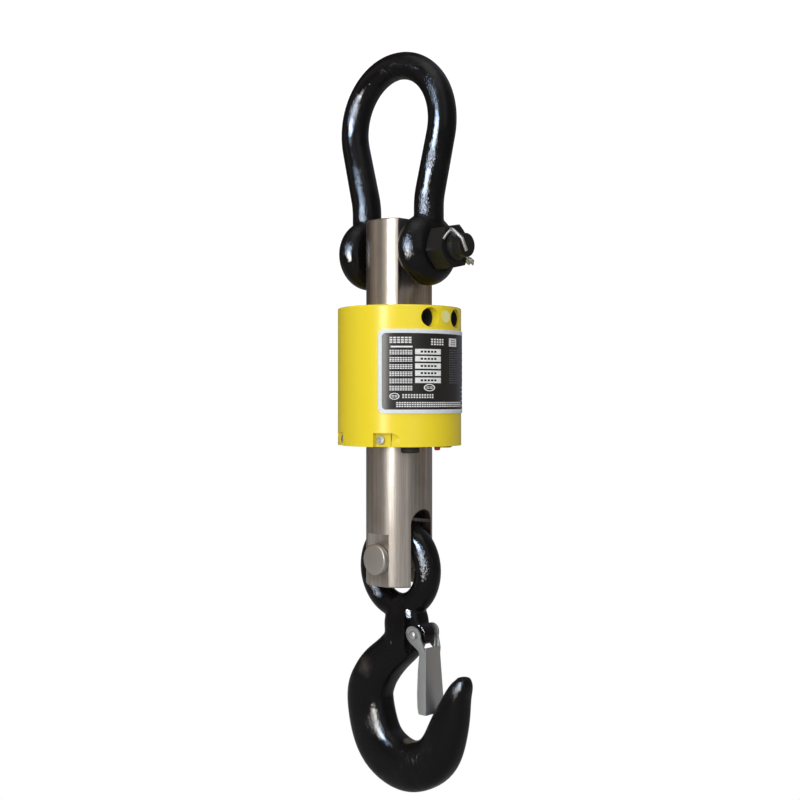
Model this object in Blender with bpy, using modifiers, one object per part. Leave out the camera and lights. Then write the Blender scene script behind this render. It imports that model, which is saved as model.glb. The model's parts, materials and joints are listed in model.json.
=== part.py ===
"""A hanging crane scale: bow shackle, load cell bar, two-part housing and a safety hook.

The origin is the inside top of the shackle's crown, where a crane's hook carries it. +Z is up,
+X points along the shackle bolt to its nut, and the hook's pin lies along Y with its head at -Y.
The bar has play along the bolt and hangs a little towards the nut, so everything below the
shackle is built around its own axis and parented to an empty there.
"""
import math

import bmesh
import bpy
from mathutils import Matrix, Vector

MM = 0.001
GAP = 0.3 * MM

# Shackle
CROWN_ROD_R = 12.1 * MM
LIMB_ROD_R = 12.8 * MM
EAR_ROD_R = 13.4 * MM
CROWN_RADIUS = 55 * MM
LIMB_LEAN = math.radians(14.5)
LIMB_X = 39 * MM
LIMB_BLEND_R = 60 * MM
BOLT_Z = -157 * MM
JAW_HALF = 25.8 * MM
# Distance from the middle plane and outer radius of an ear, in mm
EAR_PROFILE = [
    (25.8, 25), (29, 29.3), (33.5, 31.7), (38, 32.2),
    (43, 30.8), (47.5, 27.8), (50.8, 23.8), (52.5, 20.5),
]
EAR_OUTER_X = 52.5 * MM
BOLT_R = 12.5 * MM
THREAD_R = 12 * MM
BOLT_HEAD_R = 17 * MM
BOLT_HEAD_H = 5.6 * MM
BOLT_POINT_R = 10.4 * MM
BOLT_POINT_X = 73.5 * MM
BOLT_END_X = 84 * MM
NUT_FLATS = 36 * MM
NUT_TURN = math.radians(12)
NUT_H = 18 * MM
NUT_CHAMFER_STEPS = 26
SPLIT_PIN_X = 76 * MM
SPLIT_PIN_R = 1.5 * MM
BAR_X = 2.5 * MM

# Load cell bar
BAR_R = 30 * MM
BAR_TOP = -129.5 * MM
BAR_BOTTOM = -457 * MM
FLAT_X = 20 * MM
FLAT_END = -232 * MM
SLOT_HALF = 13 * MM
SLOT_TOP = -388 * MM
PAD_Y = 27 * MM
PAD_HALF_W = 13 * MM
PAD_TOP = -410 * MM
GAUGE_Z = -280 * MM
GAUGE_FACE_Y = 26 * MM
GAUGE_FLOOR_Y = 17 * MM
GAUGE_FACE_R = 14 * MM
GAUGE_R = 11 * MM

# Housing
SHELL_R = 56.2 * MM
SHELL_WALL = 3 * MM
SHELL_TOP = -208 * MM
SHELL_BOTTOM = -331.5 * MM
REAR_STEP = 0.6 * MM
SEAL_W = 3 * MM
WELL_Y = 16.4 * MM
WELL_Z = -218.7 * MM
WELL_R = 8.5 * MM
WELL_FLOOR_X = 35 * MM
WELL_BOSS_R = 11 * MM
POCKET_TURN = math.radians(20)
POCKET_DEPTH_N = 50.8 * MM
POCKET_STEP_X = 17.5 * MM
POCKET_H = 12 * MM
POCKET_END = 25 * MM
POCKET_CORNER_R = 9 * MM
POCKET_SCREW_X = 22.6 * MM
POCKET_SCREW_Z = SHELL_BOTTOM + 6 * MM
BLOCK_DEPTH = 8 * MM
PLATE_Z = SHELL_BOTTOM + 1 * MM
PLATE_T = 4 * MM
NAMEPLATE_HALF_ANGLE = math.radians(65)
NAMEPLATE_TOP = -229.3 * MM
NAMEPLATE_H = 73.3 * MM

STICKER_R = 5.5 * MM
STICKER_Z = -217.8 * MM
CLAMP_HEAD_R = 5 * MM
CLAMP_HEAD_H = 6 * MM
SCREW_HEAD_R = 3.9 * MM

# Underside of the housing, each place as an angle from +X and a distance from the bar's axis
SOCKET_R = 8.2 * MM
SOCKET_BODY_R = 7 * MM
SOCKET_BORE_R = 5.8 * MM
SOCKET_DROP = 5.5 * MM
SOCKET_PLACE = (math.radians(-33), 42.5 * MM)
BUTTON_R = 3 * MM
BUTTON_FLANGE_R = 4.2 * MM
BUTTON_DROP = 4 * MM
BUTTON_TRAVEL = 1.5 * MM
BUTTON_PLACE = (math.radians(9.5), 41 * MM)
ANTENNA_BODY_R = 4 * MM
ANTENNA_CAP_R = 6 * MM
ANTENNA_PLACE = (math.radians(44), 42 * MM)
UNDERSIDE_HOLES = {
    "socket": (*SOCKET_PLACE, SOCKET_BODY_R + GAP),
    "button": (*BUTTON_PLACE, BUTTON_FLANGE_R + 2 * GAP),
    "antenna": (*ANTENNA_PLACE, ANTENNA_BODY_R + GAP),
}

# Electronics
BOARD_Y = 42 * MM
BOARD_W = 46 * MM
BOARD_T = 1.6 * MM
BOARD_BOTTOM = -314 * MM
BOARD_H = 58 * MM
CELL_R = 9.2 * MM
CELL_H = 65 * MM
CELL_RING = 42.2 * MM
CELL_TOP = -246 * MM
CELL_STEP = 27
TRAY_T = 2 * MM
TRAY_HALF_W = 8.5 * MM
TRAY_HALF_ANGLE = math.radians(54)
CABLE_R = 1.2 * MM
LEAD_R = 1.4 * MM

# Hook and latch
PIN_R = 12 * MM
PIN_Z = -432.8 * MM
PIN_HEAD_R = 13.7 * MM
PIN_HEAD_H = 5.6 * MM
PIN_REACH = 9 * MM
GROOVE_AT = 3.3 * MM
GROOVE_W = 1.9 * MM
GROOVE_DEPTH = 1.6 * MM
WASHER_R = 18 * MM
WASHER_T = 2.4 * MM
CLIP_W = 3 * MM
EYE_R = 34.3 * MM
EYE_TUBE_R = 11.8 * MM
EYE_Z = PIN_Z + PIN_R + GAP - (EYE_R - EYE_TUBE_R)
EYE_X = 1 * MM
LATCH_X = 29 * MM
LATCH_Z = -499 * MM
LATCH_EAR_Y = 11.2 * MM
LATCH_EAR_TILT = math.radians(9)
LATCH_SHEET = 1.5 * MM
LATCH_FLAT_X = 19 * MM
LATCH_PIN_R = 3 * MM
LATCH_HEAD_GAP = 1.0 * MM
LUG_HALF = 7 * MM
LUG_R = 9.5 * MM
LATCH_EAR_R = 8.5 * MM
LATCH_HEAD_R = 4.2 * MM
SPRING_WIRE_R = 0.5 * MM
SPRING_COIL_R = 5 * MM
SPRING_TURNS = 1.5
SPRING_PER_TURN = 10

# Centre of the hook's section from the neck to the tip, with half its depth and half its width, in mm
HOOK_STATIONS = [
    (5, -468, 14, 11),
    (8.9, -486, 21.5, 14),
    (8.9, -500, 21, 15),
    (4, -511, 18.2, 15.5),
    (-8, -522, 17.6, 16),
    (-21, -533.5, 19.5, 16),
    (-31.5, -547, 21.2, 16),
    (-37.5, -567, 23.3, 16),
    (-24, -606, 24, 16.5),
    (12, -620.7, 22.6, 16.5),
    (46, -606, 20.5, 15.5),
    (61.5, -574, 17, 14),
    (70.5, -549, 11, 11.5),
    (76.5, -537, 8, 9),
    (77.2, -530.5, 4.5, 5.5),
]
HOOK_SECTION_POWER = 3.0
HOOK_SECTION_SIDES = 16
RINGS_PER_STATION = 2

# Height, outer X, flange depth and half width of the latch's channel, in mm
LATCH_ROWS = [
    (-509.5, 41.2, 7, 9.2),
    (-530, 42.2, 9.5, 10.3),
    (-550, 43.2, 10.5, 11.3),
    (-562, 43.8, 10, 12),
    (-567.5, 44.0, 8.5, 12.3),
]

# Lays a flat outline's own X along +Y, its Y along +Z and its thickness along +X
OUTLINE_FACING_X = Matrix(((0, 0, 1, 0), (1, 0, 0, 0), (0, 1, 0, 0), (0, 0, 0, 1)))
# Lays a flat outline's own Y along +Z and its thickness along the Y axis
OUTLINE_FACING_Y = Matrix(((1, 0, 0, 0), (0, 0, 1, 0), (0, 1, 0, 0), (0, 0, 0, 1)))

PARTS = None
CUTTERS = None
HANGER = None


# ---------------------------------------------------------------- scene and helpers

def clear_scene():
    for obj in list(bpy.data.objects):
        bpy.data.objects.remove(obj, do_unlink=True)


def new_collection(name):
    collection = bpy.data.collections.new(name)
    bpy.context.scene.collection.children.link(collection)
    return collection


def material(name, colour, roughness, metallic=0.0):
    mat = bpy.data.materials.new(name)
    mat.use_nodes = True
    shader = mat.node_tree.nodes["Principled BSDF"]
    shader.inputs["Base Color"].default_value = (*colour, 1.0)
    shader.inputs["Roughness"].default_value = roughness
    shader.inputs["Metallic"].default_value = metallic
    mat.diffuse_color = (*colour, 1.0)
    return mat


def place(obj, collection, mat=None):
    """Move an object into one collection and give it its material."""
    for other in list(obj.users_collection):
        other.objects.unlink(obj)
    collection.objects.link(obj)
    obj.parent = HANGER
    if mat:
        obj.data.materials.clear()
        obj.data.materials.append(mat)
    return obj


def as_cutter(obj):
    place(obj, CUTTERS)
    obj.hide_render = True
    obj.display_type = "WIRE"
    return obj


def smooth(obj, angle=math.radians(35)):
    obj.data.shade_smooth()
    obj.data.set_sharp_from_angle(angle=angle)
    return obj


def mesh_object(name, bm, mat=None):
    mesh = bpy.data.meshes.new(name)
    bm.to_mesh(mesh)
    bm.free()
    obj = bpy.data.objects.new(name, mesh)
    return place(obj, PARTS, mat)


def axis_matrix(axis, centre):
    """Turn +Z to the given axis letter and move to the centre."""
    turns = {
        "X": Matrix.Rotation(math.pi / 2, 4, "Y"),
        "Y": Matrix.Rotation(-math.pi / 2, 4, "X"),
        "Z": Matrix(),
    }
    return Matrix.Translation(centre) @ turns[axis]


def cylinder(name, radius, length, centre, axis="Z", mat=None, sides=32, top_radius=None):
    bm = bmesh.new()
    upper = radius if top_radius is None else top_radius
    bmesh.ops.create_cone(bm, cap_ends=True, segments=sides, radius1=radius, radius2=upper, depth=length)
    bmesh.ops.transform(bm, matrix=axis_matrix(axis, Vector(centre)), verts=bm.verts)
    return smooth(mesh_object(name, bm, mat))


def box(name, size, centre, mat=None, turn_z=0.0):
    bm = bmesh.new()
    bmesh.ops.create_cube(bm, size=1.0)
    shape = Matrix.Translation(centre) @ Matrix.Rotation(turn_z, 4, "Z") @ Matrix.Diagonal((*size, 1.0))
    bmesh.ops.transform(bm, matrix=shape, verts=bm.verts)
    return mesh_object(name, bm, mat)


def bevel(obj, width, segments=2):
    mod = obj.modifiers.new("rounded_edges", "BEVEL")
    mod.width = width
    mod.segments = segments
    mod.limit_method = "ANGLE"
    return obj


def spin(obj, steps, angle=math.tau):
    mod = obj.modifiers.new("turned", "SCREW")
    mod.steps = steps
    mod.render_steps = steps
    mod.angle = angle
    mod.merge_threshold = 0.01 * MM
    mod.use_merge_vertices = angle >= math.tau
    mod.use_smooth_shade = True
    return mod


def turned(name, profile, mat=None, axis="Z", centre=(0, 0, 0), steps=32, closed=False):
    """Turn a profile of (radius, height) points, listed down its outer side, about an axis."""
    bm = bmesh.new()
    verts = [bm.verts.new((radius, 0, height)) for radius, height in profile]
    edges = list(zip(verts, verts[1:]))
    if closed:
        edges.append((verts[-1], verts[0]))
    for edge in edges:
        bm.edges.new(edge)
    obj = mesh_object(name, bm, mat)
    spin(obj, steps)
    obj.matrix_basis = axis_matrix(axis, Vector(centre))
    return obj


def boolean(obj, other, operation="DIFFERENCE"):
    """Cut, join or trim an object with another, which becomes a cutter."""
    mod = obj.modifiers.new(other.name, "BOOLEAN")
    mod.operation = operation
    mod.solver = "EXACT"
    mod.object = as_cutter(other)
    return obj


def extruded(name, points, thickness, matrix, mat=None):
    """Fill a closed 2D outline and give it a thickness along its own Z, centred on the outline."""
    curve = bpy.data.curves.new(name, "CURVE")
    curve.dimensions = "2D"
    curve.fill_mode = "BOTH"
    curve.extrude = thickness / 2
    spline = curve.splines.new("POLY")
    spline.points.add(len(points) - 1)
    for point, (u, v) in zip(spline.points, points):
        point.co = (u, v, 0, 1)
    spline.use_cyclic_u = True
    obj = bpy.data.objects.new(name, curve)
    obj.matrix_basis = matrix
    return as_mesh(place(obj, PARTS), mat)


def tube(name, points, radius, mat=None, resolution=2, radii=None):
    """A round wire or rod through the points, with filled ends."""
    curve = bpy.data.curves.new(name, "CURVE")
    curve.dimensions = "3D"
    curve.bevel_depth = radius
    curve.bevel_resolution = resolution
    curve.use_fill_caps = True
    spline = curve.splines.new("POLY")
    spline.points.add(len(points) - 1)
    for index, (point, place_at) in enumerate(zip(spline.points, points)):
        point.co = (*place_at, 1)
        point.radius = radii[index] / radius if radii else 1.0
    obj = bpy.data.objects.new(name, curve)
    return place(obj, PARTS, mat)


def as_mesh(curve_obj, mat=None):
    """Replace a curve object by its welded mesh."""
    name = curve_obj.name
    bpy.context.view_layer.update()
    graph = bpy.context.evaluated_depsgraph_get()
    mesh = bpy.data.meshes.new_from_object(curve_obj.evaluated_get(graph))
    bm = bmesh.new()
    bm.from_mesh(mesh)
    bmesh.ops.remove_doubles(bm, verts=bm.verts, dist=0.01 * MM)
    bmesh.ops.recalc_face_normals(bm, faces=bm.faces)
    bm.to_mesh(mesh)
    bm.free()
    placed = curve_obj.matrix_basis.copy()
    bpy.data.objects.remove(curve_obj, do_unlink=True)
    obj = bpy.data.objects.new(name, mesh)
    obj.name = name
    obj.matrix_basis = placed
    return smooth(place(obj, PARTS, mat))


def loft(name, rings, mat=None):
    """Skin a list of rings that have the same number of points, and close both ends."""
    bm = bmesh.new()
    loops = [[bm.verts.new(point) for point in ring] for ring in rings]
    count = len(loops[0])
    for lower, upper in zip(loops, loops[1:]):
        for i in range(count):
            j = (i + 1) % count
            bm.faces.new((lower[i], lower[j], upper[j], upper[i]))
    bm.faces.new(loops[0][::-1])
    bm.faces.new(loops[-1])
    bmesh.ops.recalc_face_normals(bm, faces=bm.faces)
    return smooth(mesh_object(name, bm, mat))


def arc(centre, radius, start, end, steps):
    """Points of a circular arc, angles in radians."""
    turn = [start + (end - start) * i / steps for i in range(steps + 1)]
    return [(centre[0] + radius * math.cos(t), centre[1] + radius * math.sin(t)) for t in turn]


def spline_value(values, position):
    """Catmull-Rom value through a list, at a fractional index."""
    index = min(int(position), len(values) - 2)
    t = position - index
    before = values[max(index - 1, 0)]
    here = values[index]
    after = values[index + 1]
    beyond = values[min(index + 2, len(values) - 1)]
    slope_in = (after - before) / 2
    slope_out = (beyond - here) / 2
    square = t * t
    cube = square * t
    return ((2 * cube - 3 * square + 1) * here + (cube - 2 * square + t) * slope_in
            + (3 * square - 2 * cube) * after + (cube - square) * slope_out)


# ---------------------------------------------------------------- materials

def make_materials():
    return {
        "black_enamel": material("black_enamel", (0.012, 0.012, 0.013), 0.25),
        "stainless": material("stainless", (0.62, 0.60, 0.57), 0.32, 1.0),
        "yellow_shell": material("yellow_shell", (0.90, 0.73, 0.03), 0.4),
        "zinc_plate": material("zinc_plate", (0.60, 0.63, 0.65), 0.4, 1.0),
        "black_rubber": material("black_rubber", (0.02, 0.02, 0.02), 0.8),
        "black_plastic": material("black_plastic", (0.02, 0.02, 0.02), 0.4),
        "red_plastic": material("red_plastic", (0.55, 0.02, 0.02), 0.35),
        "black_oxide": material("black_oxide", (0.02, 0.02, 0.022), 0.45, 0.6),
        "nameplate_print": material("nameplate_print", (0.02, 0.02, 0.02), 0.4),
        "sticker_paper": material("sticker_paper", (0.85, 0.85, 0.35), 0.6),
        "board_green": material("board_green", (0.02, 0.18, 0.06), 0.45),
        "cell_wrap": material("cell_wrap", (0.05, 0.18, 0.5), 0.4),
        "gauge_foil": material("gauge_foil", (0.75, 0.45, 0.12), 0.4),
        "cable_sheath": material("cable_sheath", (0.08, 0.08, 0.08), 0.6),
        "white_plastic": material("white_plastic", (0.75, 0.75, 0.72), 0.5),
    }


# ---------------------------------------------------------------- shackle

def bow_half(side):
    """Centreline of one half of the bow from the crown to the ear, with the rod's radius."""
    middle_z = CROWN_ROD_R - CROWN_RADIUS
    points = arc((0, middle_z), CROWN_RADIUS, math.pi / 2, -LIMB_LEAN, 12)
    turn_x = LIMB_X + LIMB_BLEND_R * (1 - math.cos(LIMB_LEAN))
    last_x, last_z = points[-1]
    drop = (last_x - turn_x) / math.tan(LIMB_LEAN)
    points += [(last_x + (turn_x - last_x) * f, last_z - drop * f) for f in (0.25, 0.5, 0.75)]
    blend_z = last_z - drop - LIMB_BLEND_R * math.sin(LIMB_LEAN)
    points += arc((LIMB_X + LIMB_BLEND_R, blend_z), LIMB_BLEND_R, math.pi - LIMB_LEAN, math.pi, 3)
    points.append((LIMB_X, BOLT_Z + 15 * MM))
    rows = []
    for x, z in points:
        if z > middle_z:
            share = min(x / CROWN_RADIUS, 1)
            thick = CROWN_ROD_R + (LIMB_ROD_R - CROWN_ROD_R) * share
        else:
            share = min((middle_z - z) / (60 * MM), 1)
            thick = LIMB_ROD_R + (EAR_ROD_R - LIMB_ROD_R) * share
        rows.append(((side * x, 0, z), thick))
    return rows


def ear(side):
    """A round forged ear with a flat inner face and the bolt's hole through it."""
    bore = BOLT_R + GAP
    profile = [(r * MM, side * x * MM) for x, r in EAR_PROFILE]
    profile = [(bore, side * JAW_HALF)] + profile + [(bore, side * EAR_OUTER_X)]
    if side > 0:
        profile.reverse()
    name = "ear_near_nut" if side > 0 else "ear_near_head"
    return turned(name, profile, axis="X", centre=(0, 0, BOLT_Z), steps=26, closed=True)


def shackle_bow(mats):
    rows = bow_half(-1)[::-1] + bow_half(1)[1:]
    path = [point for point, _ in rows]
    radii = [thick for _, thick in rows]
    rod = tube("shackle_bow", path, CROWN_ROD_R, resolution=4, radii=radii)
    bow = as_mesh(rod, mats["black_enamel"])
    for side in (-1, 1):
        boolean(bow, ear(side), "UNION")


def split_pin_path():
    """From the bent leg's end, back through the bolt and round the eye at the far side."""
    out = Vector((0, -1, 1)).normalized()
    side = Vector((1, 0, 0))
    centre = Vector((SPLIT_PIN_X, 0, BOLT_Z))
    leg = [(12.4, -6.4, -6.0), (11.8, -11.4, 4.5), (4.4, -14.6, 11.8), (0.8, -13.4, 13.2)]
    points = [centre + Vector(p) * MM for p in leg]
    points += [centre + out * reach * MM for reach in (16.5, 10, 0, -10, -14.5)]
    eye = centre - out * 18 * MM
    for turn in range(-60, 241, 60):
        angle = math.radians(turn)
        points.append(eye + (out * math.sin(angle + math.pi) * -1 + side * math.cos(angle)) * 3.4 * MM)
    return points


def shackle_bolt_set(mats):
    head_x = -EAR_OUTER_X - GAP
    chamfer = 1.5 * MM
    profile = [
        (0, BOLT_END_X),
        (BOLT_POINT_R - 0.6 * MM, BOLT_END_X),
        (BOLT_POINT_R, BOLT_END_X - 0.6 * MM),
        (BOLT_POINT_R, BOLT_POINT_X + chamfer),
        (THREAD_R, BOLT_POINT_X),
        (THREAD_R, EAR_OUTER_X - 1 * MM),
        (BOLT_R, EAR_OUTER_X - 1.5 * MM),
        (BOLT_R, head_x),
        (BOLT_HEAD_R, head_x),
        (BOLT_HEAD_R, head_x - BOLT_HEAD_H + chamfer),
        (BOLT_HEAD_R - chamfer, head_x - BOLT_HEAD_H),
        (0, head_x - BOLT_HEAD_H),
    ]
    bolt = turned("shackle_bolt", profile, mats["black_enamel"], axis="X", centre=(0, 0, BOLT_Z))
    hole = cylinder("split_pin_hole", 2.1 * MM, 30 * MM, (0, 0, 0), sides=16)
    at = Matrix.Translation((SPLIT_PIN_X, 0, BOLT_Z))
    hole.matrix_basis = at @ Matrix.Rotation(math.radians(45), 4, "X")
    boolean(bolt, hole)

    nut_x = EAR_OUTER_X + GAP + NUT_H / 2
    corner_r = NUT_FLATS / 2 / math.cos(math.pi / 6)
    nut = cylinder("shackle_nut", corner_r, NUT_H, (0, 0, 0), "X", mats["black_enamel"], sides=6)
    nut.matrix_basis = Matrix.Translation((nut_x, 0, BOLT_Z)) @ Matrix.Rotation(NUT_TURN, 4, "X")
    half = NUT_H / 2
    flat_r = NUT_FLATS / 2 - 0.3 * MM
    slope = 1.6 * MM
    rim = [(0, half), (flat_r, half), (corner_r + 0.5 * MM, half - slope),
           (corner_r + 0.5 * MM, slope - half), (flat_r, -half), (0, -half)]
    chamfer = turned("nut_chamfer", rim, axis="X", centre=(nut_x, 0, BOLT_Z), steps=NUT_CHAMFER_STEPS)
    boolean(nut, chamfer, "INTERSECT")
    boolean(nut, cylinder("nut_bore", THREAD_R + GAP, NUT_H * 2, (nut_x, 0, BOLT_Z), "X"))

    path = split_pin_path()
    pin = as_mesh(tube("split_pin", path, SPLIT_PIN_R), mats["zinc_plate"])
    centre = Vector((SPLIT_PIN_X, 0, BOLT_Z))
    second = [(0.8, -11.5, 11.5), (0.4, -14.5, 11.5), (-1.0, -17.8, 7.5), (-1.6, -20, 4.0)]
    leg = as_mesh(tube("split_pin_second_leg", [centre + Vector(p) * MM for p in second], 1.2 * MM))
    boolean(pin, leg, "UNION")


# ---------------------------------------------------------------- load cell

def bar_outline(offset):
    """The flatted bar's cross-section, grown by an offset."""
    radius = BAR_R + offset
    flat = FLAT_X + offset
    half_angle = math.acos(flat / radius)
    front = arc((0, 0), radius, half_angle, math.pi - half_angle, 14)
    back = arc((0, 0), radius, math.pi + half_angle, math.tau - half_angle, 14)
    return front + back


def load_cell(mats):
    edge = 1 * MM
    profile = [(0, BAR_TOP), (BAR_R - edge, BAR_TOP), (BAR_R, BAR_TOP - edge), (BAR_R, BAR_BOTTOM + edge),
               (BAR_R - edge, BAR_BOTTOM), (0, BAR_BOTTOM)]
    bar = turned("load_cell_body", profile, mats["stainless"], steps=50)
    flat_h = BAR_TOP - FLAT_END + 4 * MM
    flat_z = FLAT_END + flat_h / 2
    pad_h = PAD_TOP - BAR_BOTTOM + 4 * MM
    for side in (-1, 1):
        depth = BAR_R - FLAT_X + 2 * MM
        at = (side * (FLAT_X + depth / 2), 0, flat_z)
        boolean(bar, box(f"flat_cut_{side}", (depth, 70 * MM, flat_h), at))
        pad = (PAD_HALF_W * 2, 6 * MM, pad_h)
        boolean(bar, box(f"pad_cut_{side}", pad, (0, side * (PAD_Y + 3 * MM), PAD_TOP - pad_h / 2)))
        face = BAR_R - GAUGE_FACE_Y + 2 * MM
        at = (0, side * (GAUGE_FACE_Y + face / 2), GAUGE_Z)
        boolean(bar, cylinder(f"gauge_face_{side}", GAUGE_FACE_R + GAP, face, at, "Y"))
        depth = BAR_R - GAUGE_FLOOR_Y
        at = (0, side * (GAUGE_FLOOR_Y + depth / 2), GAUGE_Z)
        boolean(bar, cylinder(f"gauge_pocket_{side}", GAUGE_R, depth, at, "Y", sides=24))
        for across in (-1, 1):
            at = (side * (FLAT_X - 4 * MM), across * WELL_Y, WELL_Z)
            boolean(bar, cylinder(f"clamp_thread_{side}_{across}", 3.3 * MM, 10 * MM, at, "X", sides=12))
    boolean(bar, cylinder("bolt_bore", BOLT_R + GAP, 60 * MM, (0, 0, BOLT_Z), "X"))
    boolean(bar, cylinder("pin_bore", PIN_R + GAP, 80 * MM, (0, 0, PIN_Z), "Y"))
    arch_z = SLOT_TOP - SLOT_HALF
    slot = [(SLOT_HALF, BAR_BOTTOM - 5 * MM)]
    slot += arc((0, arch_z), SLOT_HALF, 0, math.pi, 14)
    slot.append((-SLOT_HALF, BAR_BOTTOM - 5 * MM))
    boolean(bar, extruded("hook_slot", slot, 80 * MM, OUTLINE_FACING_X))


def gauges(mats):
    for side, name in ((-1, "front"), (1, "rear")):
        cover_y = side * (GAUGE_FACE_Y + GAP + 0.6 * MM)
        cylinder(f"gauge_cover_{name}", GAUGE_FACE_R, 1.2 * MM, (0, cover_y, GAUGE_Z), "Y", mats["stainless"])
        foil_y = side * (GAUGE_FLOOR_Y + GAP + 0.2 * MM)
        box(f"strain_gauge_{name}", (9 * MM, 0.4 * MM, 13 * MM), (0, foil_y, GAUGE_Z), mats["gauge_foil"])


# ---------------------------------------------------------------- housing

def pocket_frame(sx, sy):
    """Directions of one screw pocket: out of its flat, and along it away from the step."""
    normal = Vector((sx * math.sin(POCKET_TURN), sy * math.cos(POCKET_TURN), 0))
    along = Vector((sx * math.cos(POCKET_TURN), -sy * math.sin(POCKET_TURN), 0))
    return normal, along


def pocket_distance(x):
    """How far along the pocket's flat a given distance from the YZ plane lies."""
    return (x - POCKET_DEPTH_N * math.sin(POCKET_TURN)) / math.cos(POCKET_TURN)


def pocket_box(name, sx, sy, along_range, normal_range, z_range):
    """A box square to one pocket's flat."""
    normal, along = pocket_frame(sx, sy)
    size = (along_range[1] - along_range[0], normal_range[1] - normal_range[0], z_range[1] - z_range[0])
    middle = normal * sum(normal_range) / 2 + along * sum(along_range) / 2
    turn = math.atan2(along.y, along.x)
    return box(name, size, (middle.x, middle.y, sum(z_range) / 2), turn_z=turn)


def pocket_cylinder(name, sx, sy, radius, normal_range, mat=None, sides=16):
    """A cylinder along one pocket's screw axis."""
    normal, along = pocket_frame(sx, sy)
    middle = normal * sum(normal_range) / 2 + along * pocket_distance(POCKET_SCREW_X)
    rod = cylinder(name, radius, normal_range[1] - normal_range[0], (0, 0, 0), mat=mat, sides=sides)
    turn = Vector((0, 0, 1)).rotation_difference(normal).to_matrix().to_4x4()
    rod.data.transform(Matrix.Translation((middle.x, middle.y, POCKET_SCREW_Z)) @ turn)
    return rod


def pocket_cutter(name, sx, sy, step, depth, heights):
    """The pocket's own shape: square at its step and rounded off at its far top corner."""
    normal, along = pocket_frame(sx, sy)
    low, top = heights
    corner = (POCKET_END - POCKET_CORNER_R, top - POCKET_CORNER_R)
    outline = [(POCKET_END, low)] + arc(corner, POCKET_CORNER_R, 0, math.pi / 2, 6)
    outline += [(step, top), (step, low)]
    middle = normal * (sum(depth) / 2)
    columns = (along, Vector((0, 0, 1)), along.cross(Vector((0, 0, 1))))
    at = Matrix.Translation(middle) @ Matrix(columns).transposed().to_4x4()
    return extruded(name, outline, depth[1] - depth[0], at)


def screw_block(name, sx, sy, grow=0.0):
    """The block behind a pocket that its screw passes through."""
    screw = pocket_distance(POCKET_SCREW_X)
    span = (screw - 9 * MM - grow, screw + 9 * MM + grow)
    depth = (POCKET_DEPTH_N - BLOCK_DEPTH - grow, SHELL_R)
    heights = (SHELL_BOTTOM + 0.01 * MM - 4 * grow, SHELL_BOTTOM + 15 * MM + grow)
    return pocket_box(name, sx, sy, span, depth, heights)


def shell(name, side, radius, mat):
    """One half of the housing, which its two top screws clamp to the bar's flat."""
    inner = radius - SHELL_WALL
    top_r = 1.5 * MM
    profile = [(FLAT_X / 2, SHELL_TOP)]
    profile += arc((radius - top_r, SHELL_TOP - top_r), top_r, math.pi / 2, 0, 3)
    profile += [(radius, SHELL_BOTTOM), (inner, SHELL_BOTTOM)]
    profile += [(inner, SHELL_TOP - SHELL_WALL), (FLAT_X / 2, SHELL_TOP - SHELL_WALL)]
    half = turned(name, profile, mat, steps=52, closed=True)
    trim_r = radius - 1 * MM
    for across in (-1, 1):
        length = radius - FLAT_X - GAP
        at = (side * (FLAT_X + GAP + length / 2), across * WELL_Y, WELL_Z)
        boss = cylinder(f"{name}_boss_{across}", WELL_BOSS_R, length, at, "X")
        heights = (SHELL_TOP + SHELL_BOTTOM) / 2
        trim = cylinder(f"{name}_boss_trim_{across}", trim_r, 120 * MM, (0, 0, heights), sides=52)
        boolean(half, boolean(boss, trim, "INTERSECT"), "UNION")
        block = screw_block(f"{name}_block_{across}", side, across)
        trim = cylinder(f"{name}_block_trim_{across}", trim_r, 140 * MM, (0, 0, heights), sides=52)
        boolean(half, boolean(block, trim, "INTERSECT"), "UNION")
    cut_w = 80 * MM
    cut_at = (-side * (cut_w / 2 - GAP / 2), 0, (SHELL_TOP + SHELL_BOTTOM) / 2)
    boolean(half, box(f"{name}_other_half", (cut_w, 140 * MM, 140 * MM), cut_at))
    for across in (-1, 1):
        reach = radius + 5 * MM - WELL_FLOOR_X
        at = (side * (WELL_FLOOR_X + reach / 2), across * WELL_Y, WELL_Z)
        boolean(half, cylinder(f"{name}_well_{across}", WELL_R, reach, at, "X"))
        at = (side * (FLAT_X + 10 * MM), across * WELL_Y, WELL_Z)
        boolean(half, cylinder(f"{name}_clamp_hole_{across}", 3.4 * MM, 40 * MM, at, "X", sides=16))
        step = pocket_distance(POCKET_STEP_X)
        heights = (SHELL_BOTTOM - 3 * MM, SHELL_BOTTOM + POCKET_H)
        depth = (POCKET_DEPTH_N, POCKET_DEPTH_N + 15 * MM)
        boolean(half, pocket_cutter(f"{name}_pocket_{across}", side, across, step, depth, heights))
        hole = (POCKET_DEPTH_N - 20 * MM, POCKET_DEPTH_N + 2 * MM)
        boolean(half, pocket_cylinder(f"{name}_base_hole_{across}", side, across, 2.3 * MM, hole, sides=12))
    at = Matrix.Translation((0, 0, SHELL_TOP))
    boolean(half, extruded(f"{name}_bar_hole", bar_outline(SEAL_W + GAP), 20 * MM, at))
    return half


def housing(mats):
    shell("front_shell", 1, SHELL_R, mats["yellow_shell"])
    shell("rear_shell", -1, SHELL_R - REAR_STEP, mats["yellow_shell"])
    at = Matrix.Translation((0, 0, SHELL_TOP - SHELL_WALL / 2))
    seal = extruded("top_seal", bar_outline(SEAL_W), SHELL_WALL, at, mats["black_rubber"])
    boolean(seal, extruded("top_seal_hole", bar_outline(GAP), 20 * MM, at))


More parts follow.
